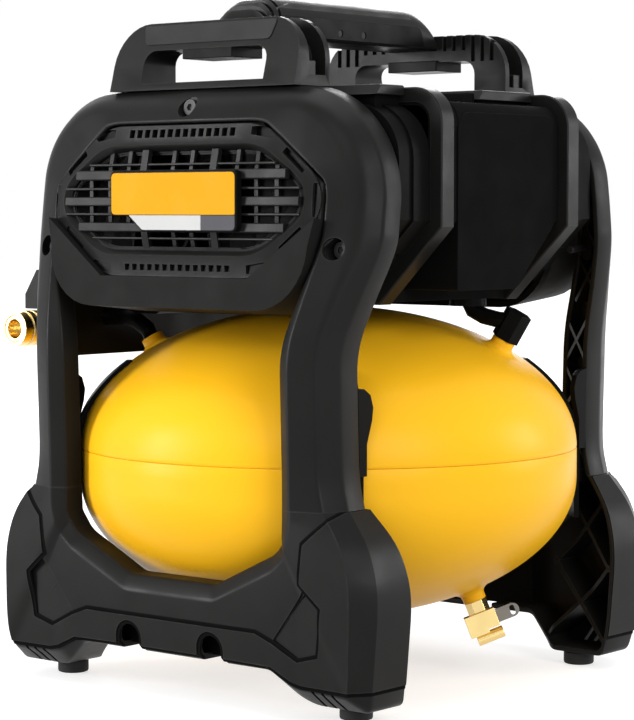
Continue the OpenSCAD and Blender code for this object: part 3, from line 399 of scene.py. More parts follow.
def lathe(name, profile, segments, place=None):
    """A turned body from (radius, height) points, which starts and ends on the axis or closes on itself."""
    prof = np.asarray(profile, float)
    rings = []
    for i in range(segments):
        a = 2 * math.pi * i / segments
        rings.append(np.stack([prof[:, 0] * math.cos(a), prof[:, 0] * math.sin(a), prof[:, 1]], 1))
    obj = loft(name, rings, closed=True)
    if place is not None:
        obj.data.transform(place)
    return obj


def box_object(name, low, high):
    low, high = np.asarray(low, float), np.asarray(high, float)
    corners = [(x, y, z) for z in (0, 1) for y in (0, 1) for x in (0, 1)]
    verts = [low + (high - low) * np.array(c) for c in corners]
    faces = [(0, 2, 3, 1), (4, 5, 7, 6), (0, 1, 5, 4), (2, 6, 7, 3), (0, 4, 6, 2), (1, 3, 7, 5)]
    return mesh_object(name, verts, faces)


# The sizes that the solids have, repeated here because the source isn't read

TANK_R, DOME_H, SKIRT, SEAM_Z, GROOVE, WALL = 150.0, 84.0, 18.0, 136.5, 0.8, 2.0
LEG_IN, LEG_OUT, BOOT_HALF, BOOT_TOP, RAIL_Z, SILL_Z = 83.0, 113.0, 141.4, 116.0, 26.0, 70.0
FRAME_WALL, FOOT_H = 3.5, 8.0
HOOD_TOP, AXIS_Z, FACE_Y, HOOD_FACE = 347.0, 284.0, 147.4, 129.0
HOOD_HALF, SHOULDER_R, LEAN, BOW = 130.0, 60.0, 5.7, 7.0
RECESS_HALF, RECESS_FLAT = 102.0, 59.0
SCREW_DROP, SCREW_X, SIDE_Z, SLANT_Z = 10.0, 109.8, 258.0, 203.0
BARREL_HALF, BARREL_Z0, BARREL_Z1, BARREL_CUT, BARREL_ROUND = 136.0, 225.0, 346.0, 44.0, 19.5
LEAN_TAN = math.tan(math.radians(LEAN))
RAIL_Y, BOOT_Y, SILL_HALF = -(FACE_Y - 4.4), -(FACE_Y - 2.2), 33.0


# Frames: sections along the base and the arch. A section has its inner bevel's width and depth, inner wall's
# length, outer bevel's width, the depths where that starts and ends, outer wall's length and a rounding.

SEC_RAIL = [8.7, 4.6, 14, 4, 2, 6, 24, 1.6]
SEC_BOOT = [8.7, 4.6, 14, 11, 3, 16.5, 28.5, 2.4]
SEC_LEG = [8.7, 4.6, 13, 6.3, 5.8, 20, 15.4, 2.0]
SEC_HOOD = [1.5, 1, 12, 8.3, 5.7, 17.5, 14.6, 7.0]
CORNER_R = [0.8, 0.8, 0.8, 3.0, 0.8, 0.9, 0.9, 1.8, 7.0, 1.6, 1.6, 0.9]
CORNER_N = [1, 1, 1, 2, 1, 2, 2, 3, 7, 3, 3, 2]


def mixed(a, b, t):
    return [x + (y - x) * t for x, y in zip(a, b)]


def station(o, i, y, p):
    """A section p from an inner point i to an outer point o, with its face at y."""
    return np.array([*o, *i, y, *p], float)


def flipped(s):
    return s * np.array([-1, 1, -1, 1] + [1] * 9)


def hood_y(x, z):
    """The depth of the hood's face."""
    return -HOOD_FACE - (HOOD_TOP - SCREW_DROP - z) * LEAN_TAN + BOW * (x / RECESS_HALF) ** 2


def base_stations():
    """From the left boot along the rail to the right boot."""
    right = [
        station((0, RAIL_Z), (0, SILL_Z), RAIL_Y, SEC_RAIL),
        station((SILL_HALF + 3, RAIL_Z), (SILL_HALF, SILL_Z), RAIL_Y, SEC_RAIL),
        station((LEG_IN - 11, RAIL_Z), ((SILL_HALF + LEG_IN) / 2, SILL_Z + 12), RAIL_Y, SEC_RAIL),
        station((LEG_IN + 7, FOOT_H + 4), (LEG_IN - 8, SILL_Z + 20), RAIL_Y, mixed(SEC_RAIL, SEC_BOOT, 0.6)),
        station((LEG_IN + 14, FOOT_H), (LEG_IN - 4.5, SILL_Z + 23), RAIL_Y, SEC_BOOT),
        station((BOOT_HALF - 7.4, FOOT_H), (LEG_IN - 1.5, SILL_Z + 27), RAIL_Y, SEC_BOOT),
        station((BOOT_HALF - 4, FOOT_H + 14), (LEG_IN, SILL_Z + 32), BOOT_Y, SEC_BOOT),
        station((BOOT_HALF, BOOT_TOP - 44), (LEG_IN, BOOT_TOP - 9), BOOT_Y, SEC_BOOT),
        station((BOOT_HALF - 7, BOOT_TOP - 19), (LEG_IN, BOOT_TOP - 5), BOOT_Y,
                mixed(SEC_BOOT, SEC_LEG, 0.35)),
        station((LEG_OUT + 5.5, BOOT_TOP), (LEG_IN, BOOT_TOP), BOOT_Y, mixed(SEC_BOOT, SEC_LEG, 0.9))]
    return [flipped(s) for s in right[:0:-1]] + right


SHOULDER_STEPS = 6


def arch_stations():
    """From the right leg over the hood to the left leg."""
    corner, crown = np.array([RECESS_HALF, HOOD_TOP - 54]), np.array([RECESS_FLAT, HOOD_TOP - 20])
    shoulder = np.array([HOOD_HALF - SHOULDER_R, HOOD_TOP - SHOULDER_R])
    side_y, upper = hood_y(RECESS_HALF, SIDE_Z), SIDE_Z + 15
    right = [
        station((LEG_OUT + 4, BOOT_TOP), (LEG_IN, BOOT_TOP), BOOT_Y, SEC_LEG),
        station((LEG_OUT, BOOT_TOP + 16), (LEG_IN, BOOT_TOP + 16), BOOT_Y, SEC_LEG),
        station((LEG_OUT, SLANT_Z), (LEG_IN, SLANT_Z), -FACE_Y, SEC_LEG),
        station(((LEG_OUT + HOOD_HALF) / 2, (SLANT_Z + SIDE_Z) / 2),
                ((LEG_IN + RECESS_HALF) / 2, (SLANT_Z + SIDE_Z + 4) / 2),
                -FACE_Y + (side_y + FACE_Y) * 0.45, mixed(SEC_LEG, SEC_HOOD, 0.5)),
        station((HOOD_HALF, SIDE_Z), (RECESS_HALF, SIDE_Z + 4), side_y, SEC_HOOD),
        station((HOOD_HALF, upper), (RECESS_HALF, upper), hood_y(RECESS_HALF, upper), SEC_HOOD)]
    for k in range(SHOULDER_STEPS + 1):
        a = math.pi / 2 * k / SHOULDER_STEPS
        i = corner + (crown - corner) * k / SHOULDER_STEPS
        o = shoulder + SHOULDER_R * np.array([math.cos(a), math.sin(a)])
        right.append(station(o, i, hood_y(*i), SEC_HOOD))
    right.append(station((0, HOOD_TOP), (0, crown[1]), hood_y(0, crown[1]), SEC_HOOD))
    return right + [flipped(s) for s in right[-2::-1]]


def eased(stations, reaches, n):
    """Stations with more between them, so that the corners of the path are rounded, each by its reach."""
    out = [stations[0]]
    for a, p, b, reach in zip(stations, stations[1:], stations[2:], reaches):
        la, lb = (max(np.linalg.norm((q - p)[:2]), np.linalg.norm((q - p)[2:4])) for q in (a, b))
        ta, tb = min(reach / la, CORNER_SHARE), min(reach / lb, CORNER_SHARE)
        out.extend(bezier(p + (a - p) * ta, p, p + (b - p) * tb, n))
    out.append(stations[-1])
    return out


def ring(s, filled=False, shrink=0.0, deep=0.0):
    """The rounded outline of one section, or of the section with its hollow filled and its back moved."""
    o, i, y, p, w = s[:2], s[2:4], s[4], s[5:], FRAME_WALL
    length = np.linalg.norm(o - i)
    u = (o - i) / length
    if filled:
        flat = np.array([(length - shrink, p[5] + p[6] + deep), (length - shrink, p[5] + shrink),
                         (length - p[3] - shrink * 0.4, p[4] + shrink), (p[0] + shrink * 0.4, shrink),
                         (shrink, p[1] + shrink * 0.6), (shrink, p[1] + p[2] + deep)])
    else:
        pts = [(w, p[1] + p[2]), (w, p[1] + w * 0.6), (max(p[0] + w * 0.3, w + 0.2), w),
               (length - p[3] - w * 0.4, p[4] + w), (length - w, p[5] + w * 0.4), (length - w, p[5] + p[6]),
               (length, p[5] + p[6]), (length, p[5]), (length - p[3], p[4]), (p[0], 0), (0, p[1]),
               (0, p[1] + p[2])]
        flat = rounded(pts, CORNER_R[:8] + [p[7]] + CORNER_R[9:], CORNER_N)
    return np.stack([i[0] + u[0] * flat[:, 0], y + flat[:, 1], i[1] + u[1] * flat[:, 0]], 1)


def hood_frame(x, z, d):
    """A point across, up and behind the hood's face, from its middle."""
    c, s = math.cos(math.radians(LEAN)), math.sin(math.radians(LEAN))
    return (x, hood_y(0, AXIS_Z) + d * c + z * s, AXIS_Z - d * s + z * c)


def arc(cx, cz, r, start, stop, n):
    return [(cx + r * math.cos(a), cz + r * math.sin(a)) for a in np.linspace(start, stop, n)]


def circle(r, n, cx=0.0, cz=0.0):
    return arc(cx, cz, r, 0, 2 * math.pi, n + 1)[:-1]


def across(x, z, d):
    """A point across, up and at a depth."""
    return (x, d, z)


def sideways(y, z, d):
    """A point along, up and out to the side."""
    return (d, y, z)


def hollow(stations):
    """The room inside a frame."""
    return loft("hollow", [ring(s, True, 1.2, -1.2) for s in stations])


RIB_HALF, RIB_DEEP = 1.2, 30.0


def ribs(name, places, stations):
    """Crossed ribs inside both sides of a frame, cut to its hollow."""
    boxes = []
    for x, z, span, count in [(side * x, *rest) for side in (1, -1) for x, *rest in places]:
        for k in range(count):
            for turn in (-45, 45):
                reach = np.array((span * 0.75, RIB_DEEP, RIB_HALF))
                made = box_object("rib", -reach, reach)
                made.data.transform(Matrix.Translation(Vector((x, -FACE_Y + 20, z + k * span)) * MM)
                                    @ Matrix.Rotation(math.radians(turn), 4, "Y"))
                boxes.append(made)
    room = hollow(stations)
    crossed = [boolean(made, linked("hollow", room.data), "INTERSECT") for made in boxes]
    bpy.data.objects.remove(room)
    return join(name, crossed)


def grown(outline, g):
    """A closed outline moved outwards by g."""
    pts = np.asarray(outline, float)
    back, ahead = pts - np.roll(pts, 1, 0), np.roll(pts, -1, 0) - pts
    turn = np.sign(np.sum(pts[:, 0] * np.roll(pts[:, 1], -1) - pts[:, 1] * np.roll(pts[:, 0], -1)))
    a, b = (np.stack([e[:, 1], -e[:, 0]], 1) / np.linalg.norm(e, axis=1)[:, None] * turn
            for e in (back, ahead))
    return pts + (a + b) * (g / np.maximum(0.35, 1 + np.sum(a * b, 1)))[:, None]


def overlay(name, outline, stations, rise):
    """A shell over the base inside an outline seen from the front."""
    obj = shade(loft(name, [ring(s, True, -rise) for s in stations]))
    boolean(obj, prism("outline", outline, -180, -60, across), "INTERSECT", own=True)
    return boolean(obj, loft("core", [ring(s, True, 1.0, 40.0) for s in stations]), own=True)


# Raised covers on the boots, in halves seen from the front, and what is cut into the base

BOOT_LINE = [(119, 117), (115, 110.5), (101.5, 98.5), (99, 77), (113.5, 65), (109.5, 37.5), (94.5, 33.5),
             (77, 42), (65, 46.4)]
BOOT_EDGE = [(153, 20.5), (153, 117)]
LOW_LINE = [(97, 21), (90, 22.5), (76, 29), (41.5, 29.5), (41.5, 33.5)]
HUMP_FOOT = (21.3, 29.5)
POCKET, POCKET_Y = [(101, 74.5), (114, 65.5), (110, 37), (94.5, 33), (76, 42)], -140.4
ARCH_X, ARCH_Z, ARCH_R, HUMP_R = 31.4, 33.5, 9.5, 10.1
FINS, FIN_X, FIN_PITCH, FIN_W = 3, LEG_IN + 20, 7.0, 2.2
# The line round each cover is a thin near-black shell just outside its outline, a painted shadow for the step
# round the cover.
CAP_RISE, CAP_SHARP, CAP_EDGE, SHADOW_LINE_RISE, SHADOW_LINE_W = 0.9, 14.0, 0.4, 0.25, 2.2
RAIL_BACK = (-62, -128.5, 28), (62, -126.5, 62)
ARCH_RIBS, BOOT_RIBS = [(98, 138, 30, 3), (112, 238, 30, 2)], [(111.4, 38, 46, 2)]
ARCH_REACH, BOOT_REACH, RAIL_REACH = 14.0, 16.0, 4.0
SEAT_R, WELL_R = 8.2, 6.2
SCREW_SEATS = [(0, HOOD_TOP - SCREW_DROP - AXIS_Z, 6), (SCREW_X, SIDE_Z - AXIS_Z, 14),
               (-SCREW_X, SIDE_Z - AXIS_Z, 14)]


def cover_outline():
    """The covers' outline, which runs on along the rail."""
    hump = arc(ARCH_X, ARCH_Z, HUMP_R, 0, math.pi, 15)
    half = BOOT_LINE[::-1] + BOOT_EDGE[::-1] + LOW_LINE + hump[1:] + [HUMP_FOOT]
    return half + [(-x, z) for x, z in half[::-1]]


def base_cuts():
    """Arches under the rail, slits between the fins, and pockets."""
    cuts = []
    for side in (-1, 1):
        mid = ARCH_X * side
        dome = arc(mid, ARCH_Z, ARCH_R, math.pi, 0, 25)
        cuts.append(prism("arch", [(mid - ARCH_R, 0)] + dome + [(mid + ARCH_R, 0)], -175, -90, across))
        for k in range(FINS):
            a = side * (FIN_X + FIN_PITCH * k)
            low, high = sorted((a, a + side * FIN_W))
            cuts.append(box_object("fin", (low, -158, 4), (high, -125, 20)))
        cuts.append(prism("pocket", [(side * x, z) for x, z in POCKET], -170, POCKET_Y, across))
    return join("cuts", cuts)


def frames():
    arch = arch_stations()
    arch = eased(arch, [ARCH_REACH] * len(arch), 6)
    boot = [BOOT_REACH] * 3
    base = eased(base_stations(), boot + [RAIL_REACH] * 11 + boot, 5)
    front = shade(loft("front_arch", [ring(s) for s in arch]))
    for x, z, d in SCREW_SEATS:
        seat = shade(prism("seat", circle(SEAT_R, 40, x, z), d - 4, d + 26, hood_frame))
        boolean(seat, hollow(arch), "INTERSECT")
        boolean(front, seat, "UNION")
        boolean(front, prism("well", circle(WELL_R, 40, x, z), d - 40, d + 3, hood_frame))
    foot = shade(loft("front_foot_rail", [ring(s) for s in base]))
    outline = cover_outline()
    cap = overlay("front_boot_cap", outline, base, CAP_RISE)
    # A painted shadow: a thin dark shell round the cover that stands in for the shade along its step.
    line = overlay("front_boot_line", grown(outline, SHADOW_LINE_W), base, SHADOW_LINE_RISE)
    boolean(foot, base_cuts(), own=True)
    plate = box_object("front_rail_back", *RAIL_BACK)
    arch_ribs, boot_ribs = ribs("front_ribs", ARCH_RIBS, arch), ribs("front_boot_ribs", BOOT_RIBS, base)
    for made, slot, *nodes in ((front, "charcoal", "frame"), (foot, "charcoal", "base"),
                               (arch_ribs, "charcoal"), (boot_ribs, "charcoal"), (cap, "charcoal"),
                               (line, "matte"), (plate, "matte")):
        edges = {"angle": CAP_SHARP, "bevel": CAP_EDGE} if made is cap else {}
        twin = mirrored(made, made.name.replace("front", "rear"), 1)
        for end, obj in (("front_", made), ("rear_", twin)):
            piece(obj, slot, *[end + n for n in nodes], **edges)


# Tank

DOME_STEPS, INNER_STEPS, TURN_STEPS, AXIS_R = 72, 24, 192, 0.01
PORTS = {"upper": [(22, 106), (207, 108)], "lower": [(25, 88.4)]}


def tank():
    """Two shells with ports at the angles and radii of PORTS."""
    rise, fall = np.linspace(0, math.pi / 2, DOME_STEPS + 1), np.linspace(math.pi / 2, 0, INNER_STEPS + 1)
    outer = [(TANK_R * math.cos(a), DOME_H * math.sin(a)) for a in rise[1:]]
    inner = [((TANK_R - WALL) * math.cos(a), (DOME_H - WALL) * math.sin(a)) for a in fall]
    outer[-1], inner[0] = (AXIS_R, DOME_H), (AXIS_R, DOME_H - WALL)
    lip = [(TANK_R - GROOVE, 0.0), (TANK_R - GROOVE * 0.35, GROOVE * 0.25), (TANK_R, GROOVE * 1.1)]
    upper = lathe("tank_upper_shell", lip + outer + inner, TURN_STEPS)
    skirt = [(TANK_R, SKIRT * 0.5), (TANK_R, SKIRT)]
    below = [(r, z + SKIRT) for r, z in outer + inner] + [(TANK_R - WALL, 0.0)]
    lower = lathe("tank_lower_shell", lip + skirt + below, TURN_STEPS)
    seam = Matrix.Translation((0, 0, SEAM_Z * MM))
    upper.data.transform(seam)
    lower.data.transform(seam @ Matrix.Scale(-1, 4, (0, 0, 1)))
    for shell, where in ((upper, "upper"), (lower, "lower")):
        ports = [boss(where, az, r) for az, r in PORTS[where]]
        piece(join("tank_" + where + "_shell", [shell] + ports), "tank_yellow", "tank_" + where)


def dome_place(where, az, r):
    """The frame of a point on a dome, with its third axis out of the shell."""
    z = DOME_H * math.sqrt(1 - (r / TANK_R) ** 2)
    tilt = math.atan2(r / TANK_R ** 2, z / DOME_H ** 2)
    height, lean = (SEAM_Z + z, tilt) if where == "upper" else (SEAM_Z - SKIRT - z, math.pi - tilt)
    return (Matrix.Rotation(math.radians(az), 4, "Z") @ Matrix.Translation((r * MM, 0, height * MM))
            @ Matrix.Rotation(lean, 4, "Y"))


def boss(where, az, r):
    """A threaded port that flows into the shell."""
    flow = [(7 + 9 * (1 - math.sin(a)), 4.5 * (1 - math.cos(a)) - 0.9)
            for a in np.linspace(0.05, math.pi / 2, 10)]
    prof = [(13.0, -2.2)] + flow + [(7.0, 6.2), (6.7, 6.8), (6.1, 7.0), (4.3, 7.0), (4.0, 6.6), (4.0, -2.2)]
    return lathe("boss", prof, 48, dome_place(where, az, r))


# Carry handle

BAR_HALF, BAR_LOW, BAR_TOP, BAR_FLAT, BAR_END = 19.0, 377.0, 401.0, 62.0, 84.0
LOOP_TOP, NOSE_DROP, BAR_STEPS = 386.0, 7.0, 61
BAR_GROOVES, BAR_GROOVE_HALF, BAR_GROOVE_Z = (-77.5, -72.0, -66.0), 1.15, 388.5
BAR_CORE = [(-78.96, 380), (-75.2, 388), (-67.68, 394.5), (-56.4, 397.5), (56.4, 397.5), (78.96, 380)]
BAR_SIDE = [(-70, 378.6), (70, 378.6), (66, 390.6), (-66, 390.6)]
DIMPLES, DIMPLE_Z, DIMPLE_R = (-34, -12, 10), 382.5, 2.0


def carry_handle():
    """A crowned bar whose ends round down into the loops, with grip grooves across its front end."""
    rings = []
    for t in np.linspace(-1, 1, BAR_STEPS):
        y = BAR_END * math.sin(t * math.pi / 2 * 0.999)
        over = max(0.0, (abs(y) - BAR_FLAT) / (BAR_END - BAR_FLAT))
        top = LOOP_TOP - NOSE_DROP + (BAR_TOP - LOOP_TOP + NOSE_DROP) * math.sqrt(max(0.0, 1 - over * over))
        top = max(top, BAR_LOW + 1.2)
        h = top - BAR_LOW
        flat = rounded([(-BAR_HALF, 0), (BAR_HALF, 0), (BAR_HALF, h * 0.66), (BAR_HALF * 0.55, h), (0, h),
                        (-BAR_HALF * 0.55, h), (-BAR_HALF, h * 0.66)],
                       [3.0, 3.0, 7.0, 7.0, 1.0, 7.0, 7.0], [4, 4, 6, 6, 1, 6, 6])
        rings.append(np.stack([flat[:, 0], np.full(len(flat), y), BAR_LOW + flat[:, 1]], 1))
    bar = shade(loft("carry_bar", rings))
    cuts = [box_object("groove", (-30, y - BAR_GROOVE_HALF, BAR_GROOVE_Z), (30, y + BAR_GROOVE_HALF, 420))
            for y in BAR_GROOVES]
    boolean(bar, join("cuts", cuts))
    inner = shade(prism("core", BAR_CORE, -BAR_HALF + 2.5, BAR_HALF - 2.5, sideways))
    piece(join("carry_bar", [bar, inner]), "charcoal", "carry_handle")
    side = rounded(BAR_SIDE, [3.0, 3.0, 5.0, 5.0], [4, 4, 5, 5])
    side = shade(prism("carry_bar_sides", side, BAR_HALF - 1.5, BAR_HALF + 0.5, sideways))
    dots = [prism("dimple", circle(DIMPLE_R, 20, y, DIMPLE_Z), 17.6, 22, sideways) for y in DIMPLES]
    boolean(side, join("cuts", dots))
    piece(both_sides(side), "black", bevel=0.4)


# Front insert: a ridged surround with vents and slots, a duct and baffle, a grille of slats, a bare badge

VENTS, VENT_PITCH, VENT_W = 14, 5.9, 4.0
VENT_ROWS = ((35.4, 40.2), (-39.8, -36.2))
SLOTS = [[(52, 40.6), (52, 36), (66, 33.9), (68.5, 35.4), (61.5, 40.8)],
         [(77, 29), (91.4, 17.4), (88.8, 14.4), (74.4, 26)],
         [(96.6, 9.2), (101, 9.2), (101, -9.2), (96.6, -9.2)]]
SLATS = [(20.2, 1.4), (14.2, 5.6), (6.5, 1.4), (-0.7, 5.2), (-7.9, 1.4), (-15.3, 5.3), (-21.4, 1.4)]
UPRIGHTS, WIDE_UPRIGHT = (7.0, 41.5, 56.0, 71.0), 26.6
OPEN_HALF, OPEN_TALL, OPEN_FLAT, OPEN_SIDE = 88.2, 28.4, 57.6, 8.2
OPEN_SLOPE = (OPEN_HALF - OPEN_FLAT) / (OPEN_TALL - OPEN_SIDE)
RIDGE_TILT = -0.036
RIDGE = [((101.6, 43.0, 60.5, 10, 14), 5.4, 0.0, 0.0), ((101.6, 43.0, 60.5, 10, 14), 3.4, 1.7, 0.5),
         ((100.8, 42.3, 60.3, 10, 14), 2.5, 2.2, 1.0), ((93.4, 32.6, 60.0, 9.4, 12), 0.8, 2.7, 1.0),
         ((92.2, 31.3, 59.6, 9.2, 12), 0.4, 2.7, 1.0), ((91.2, 30.5, 59.2, 9.0, 12), 0.9, 2.7, 1.0),
         ((OPEN_HALF, OPEN_TALL, OPEN_FLAT, OPEN_SIDE, 11), 3.6, 1.5, 1.0),
         ((87.8, 28.0, 57.3, 8.0, 11), 5.4, 0.0, 0.0)]
BACK_OUTER, BACK_INNER, BACK_DEPTH = (101.2, 42.6, 60.2, 10, 14), (86.5, 27.2, 56.6, 8, 11), (5.45, 5.9)
MOUTH, MOUTH_DEPTH, THROAT_R, THROAT_DEPTH = (87.0, 27.2, 56.8, 8, 11), 6.0, (36.8, 35.5), 21.0
BAFFLE, SHAFT_HOLE_R = ((-64, -95.5, 240), (64, -94, 328)), 9.0


def octagon(half, tall, flat, side, r):
    corners = [(half, -side), (half, side), (flat, tall), (-flat, tall)]
    corners += [(-x, -z) for x, z in corners]
    return rounded(corners, [r] * 8, [6] * 8)


def insert_ring(shape, depth, sag=0.0, tilt=0.0):
    """An octagon on the hood's face, deeper by sag towards its sides and by tilt upwards."""
    return np.array([hood_frame(x, z, depth + sag * (x / RECESS_HALF) ** 2 + tilt * z)
                     for x, z in octagon(*shape)])


def surround():
    """The ridge round the grille, its backing, the fan's duct and a baffle."""
    rings = [insert_ring(shape, depth, sag, RIDGE_TILT * share) for shape, depth, sag, share in RIDGE]
    ridge = shade(loft("grille_surround", rings, closed=True))
    cuts = []
    for k in range(VENTS):
        x = (k - (VENTS - 1) / 2) * VENT_PITCH
        for low, high in VENT_ROWS:
            a, b = x - VENT_W / 2, x + VENT_W / 2
            cuts.append(prism("vent", [(a, low), (b, low), (b, high), (a, high)], -6, 8, hood_frame))
    for outline in SLOTS:
        for sx in (-1, 1):
            for sz in ((-1, 1) if outline is not SLOTS[-1] else (1,)):
                cuts.append(prism("slot", [(sx * x, sz * z) for x, z in outline], -6, 8, hood_frame))
    boolean(ridge, join("cuts", cuts))
    piece(ridge, "charcoal", bevel=0.3)
    front, rear = BACK_DEPTH
    back = [insert_ring(*place) for place in ((BACK_OUTER, front), (BACK_OUTER, rear), (BACK_INNER, rear),
                                              (BACK_INNER, front))]
    piece(loft("grille_backing", back, closed=True), "black")
    mouth = octagon(*MOUTH)
    turns = [math.atan2(z / MOUTH[1], x / MOUTH[0]) for x, z in mouth]
    outer, inner = ([(r * math.cos(a), r * math.sin(a)) for a in turns] for r in THROAT_R)
    duct = [(mouth, MOUTH_DEPTH), (outer, THROAT_DEPTH), (inner, THROAT_DEPTH),
            (mouth * (0.985, 0.96), MOUTH_DEPTH)]
    rings = [np.array([hood_frame(x, z, d) for x, z in line]) for line, d in duct]
    piece(loft("fan_duct", rings, closed=True), "black", angle=50.0)
    baffle = shade(box_object("fan_baffle", *BAFFLE))
    boolean(baffle, prism("shaft_hole", circle(SHAFT_HOLE_R, 24, 0, AXIS_Z), -100, -90, across))
    piece(baffle, "black")


def bar_depth(z):
    """Depth of the grille's bowed front at a height."""
    return 0.6 - LEAN_TAN * z + 0.2 * max(0.0, abs(z) - 15.0)


def upright(x, w, levels, front, back):
    rings = []
    for z in levels:
        d = bar_depth(z)
        corners = ((-w / 2, front), (w / 2, front), (w / 2, back), (-w / 2, back))
        rings.append(np.array([hood_frame(x + dx, z, d + dd) for dx, dd in corners]))
    return loft("upright", rings)


def grille():
    bars = []
    for z, t in SLATS:
        edge, front, back = (0.5, 0.0, 4.2) if t > 3 else (0.3, 0.7, 3.6)
        d, w = bar_depth(z), OPEN_HALF + 1.0 - OPEN_SLOPE * max(0.0, abs(z) - OPEN_SIDE)
        section = [(front, edge - t / 2), (front, t / 2 - edge), (front + edge, t / 2), (back, t / 2),
                   (back, -t / 2), (front + edge, -t / 2)]
        ends = [np.array([hood_frame(x, z + dz, d + dd) for dd, dz in section]) for x in (-w, w)]
        bars.append(loft("slat", ends))
    for side in (-1, 1):
        for x in UPRIGHTS:
            top = OPEN_TALL + 0.4 - max(0.0, x - OPEN_FLAT) / OPEN_SLOPE
            bars.append(upright(side * x, 3.0, (-top, -15.0, 15.0, top), 3.4, 5.6))
        for low, high in ((-28.6, -15.5), (15.5, 28.6)):
            bars.append(upright(side * WIDE_UPRIGHT, 5.0, (low, high), 0.1, 3.4))
    piece(join("grille_bars", bars), "charcoal", "front_grille", bevel=0.2, segments=1)


BADGE_FRONT, BADGE_HALF, BADGE_SPLIT, PLATE_SPAN = -3.6, 47.2, 21.9, (-0.3, 0.4)


def badge_frame(x, z, d):
    """A point on the badge, which stands upright in front of the leaning hood."""
    return (x, hood_y(0, AXIS_Z) + BADGE_FRONT + d, AXIS_Z + 0.4 + z)


def stepped(g):
    """The badge's outline, whose lower left is cut away, moved inwards by g."""
    right, top, mid, low = 48.4 - g, 15.9 - g, -9.6 + g, -18.4 + g
    return rounded([(right, low), (right, top), (-right, top), (-right, mid), (-34.6 + 0.4 * g, mid),
                    (-23.9 + 1.1 * g, low)], [4.0, 3.2, 3.2, 3.2, 3.0, 1.6], [6, 6, 6, 6, 4, 3])


def badge():
    rings = [np.array([badge_frame(x, z, d) for x, z in stepped(g)])
             for g, d in ((0.0, 4.2), (0.0, 0.6), (0.25, 0.15), (0.7, 0.0))]
    piece(loft("badge_border", rings), "black", "badge_plate")
    field = rounded([(BADGE_HALF, -8.8), (BADGE_HALF, 14.8), (-BADGE_HALF, 14.8), (-BADGE_HALF, -8.8)],
                    [0.8, 3.0, 3.0, 3.0], [3, 6, 6, 6])
    split, low, high = BADGE_SPLIT, -17.4, -9.1
    pale = rounded([(split, low), (split, high), (-33.6, high), (-23.0, low)], [0.3, 0.3, 1.0, 1.0],
                   [2, 2, 3, 3])
    dark = rounded([(BADGE_HALF, low), (BADGE_HALF, high), (split + 0.1, high), (split + 0.1, low)],
                   [3.0, 0.3, 0.3, 0.3], [6, 2, 2, 2])
    for name, outline, slot, *nodes in (("badge_field", field, "badge_yellow"),
                                        ("badge_pale", pale, "badge_grey", "badge_strip"),
                                        ("badge_dark", dark, "badge_dark")):
        piece(prism(name, outline, *PLATE_SPAN, badge_frame), slot, *nodes, bevel=0.15)


# Barrel: two proud rings, a dark skin with side covers and a flat cover, and top pads on risers

RING_SPANS, RING_IN, RING_EDGE = ((-67.0, -55.5), (55.5, 67.0)), 8.2, 0.7
SKIN = ((7, -66.5), (7, 66.5), (10, 66.5), (10, -66.5))
COVER_STOP, COVER_IN = 62.0, 7.6
COVERS = ((7.2, -44.0, 1.0), (6.3, -43.2, 0.3), (6.1, -42.4, 0.0), (6.1, 51.6, 0.0), (6.3, 52.4, 0.3),
          (7.2, 53.2, 1.0))
FLAT_COVER = [(-44, 233), (12, 233), (53, 272), (53, 333), (-44, 333)]
FLAT_WEDGE = [(86.5, 231.5), (131, 231.5), (131, 334), (125.8, 334), (125.8, 270.8)]
PADS, PAD_LEAD, PAD_RIGHT = ((-93.0, -67.2, -84.0), (2.0, 55.3, -110.0)), 5.0, 110.0
PAD_LOW, PAD_EDGE, PAD_TOP = 341.4, 346.4, 347.2
NOSE = [(-11.5, 335), (2.4, 335), (2.4, 345.4), (-6.5, 345.4)]


def half_barrel(g, stop=90.0):
    """The right half of the barrel's outline, moved inwards by g, up to an angle on its shoulder."""
    slope, r = g * math.tan(math.radians(22.5)), BARREL_ROUND - g
    shoulder = arc(BARREL_HALF - BARREL_ROUND, BARREL_Z1 - BARREL_ROUND, r, 0, math.radians(stop), 13)
    return [(BARREL_HALF - BARREL_CUT - slope, BARREL_Z0 + g),
            (BARREL_HALF - g, BARREL_Z0 + BARREL_CUT + slope)] + shoulder


def barrel_ring(g, y):
    half = half_barrel(g)
    return np.array([(x, y, z) for x, z in half + [(-x, z) for x, z in half[::-1]]])


def cover_ring(g, y, trim):
    """A section of a side cover: the barrel's outline from its lower bevel to its shoulder."""
    outer, inner = half_barrel(g, COVER_STOP - trim), half_barrel(COVER_IN, COVER_STOP - trim)
    for line in (outer, inner):
        (x0, z0), (x1, z1) = line[:2]
        t = 0.1 + trim / 90
        line[0] = (x0 + (x1 - x0) * t, z0 + (z1 - z0) * t)
    return np.array([(x, y, z) for x, z in outer + inner[::-1]])


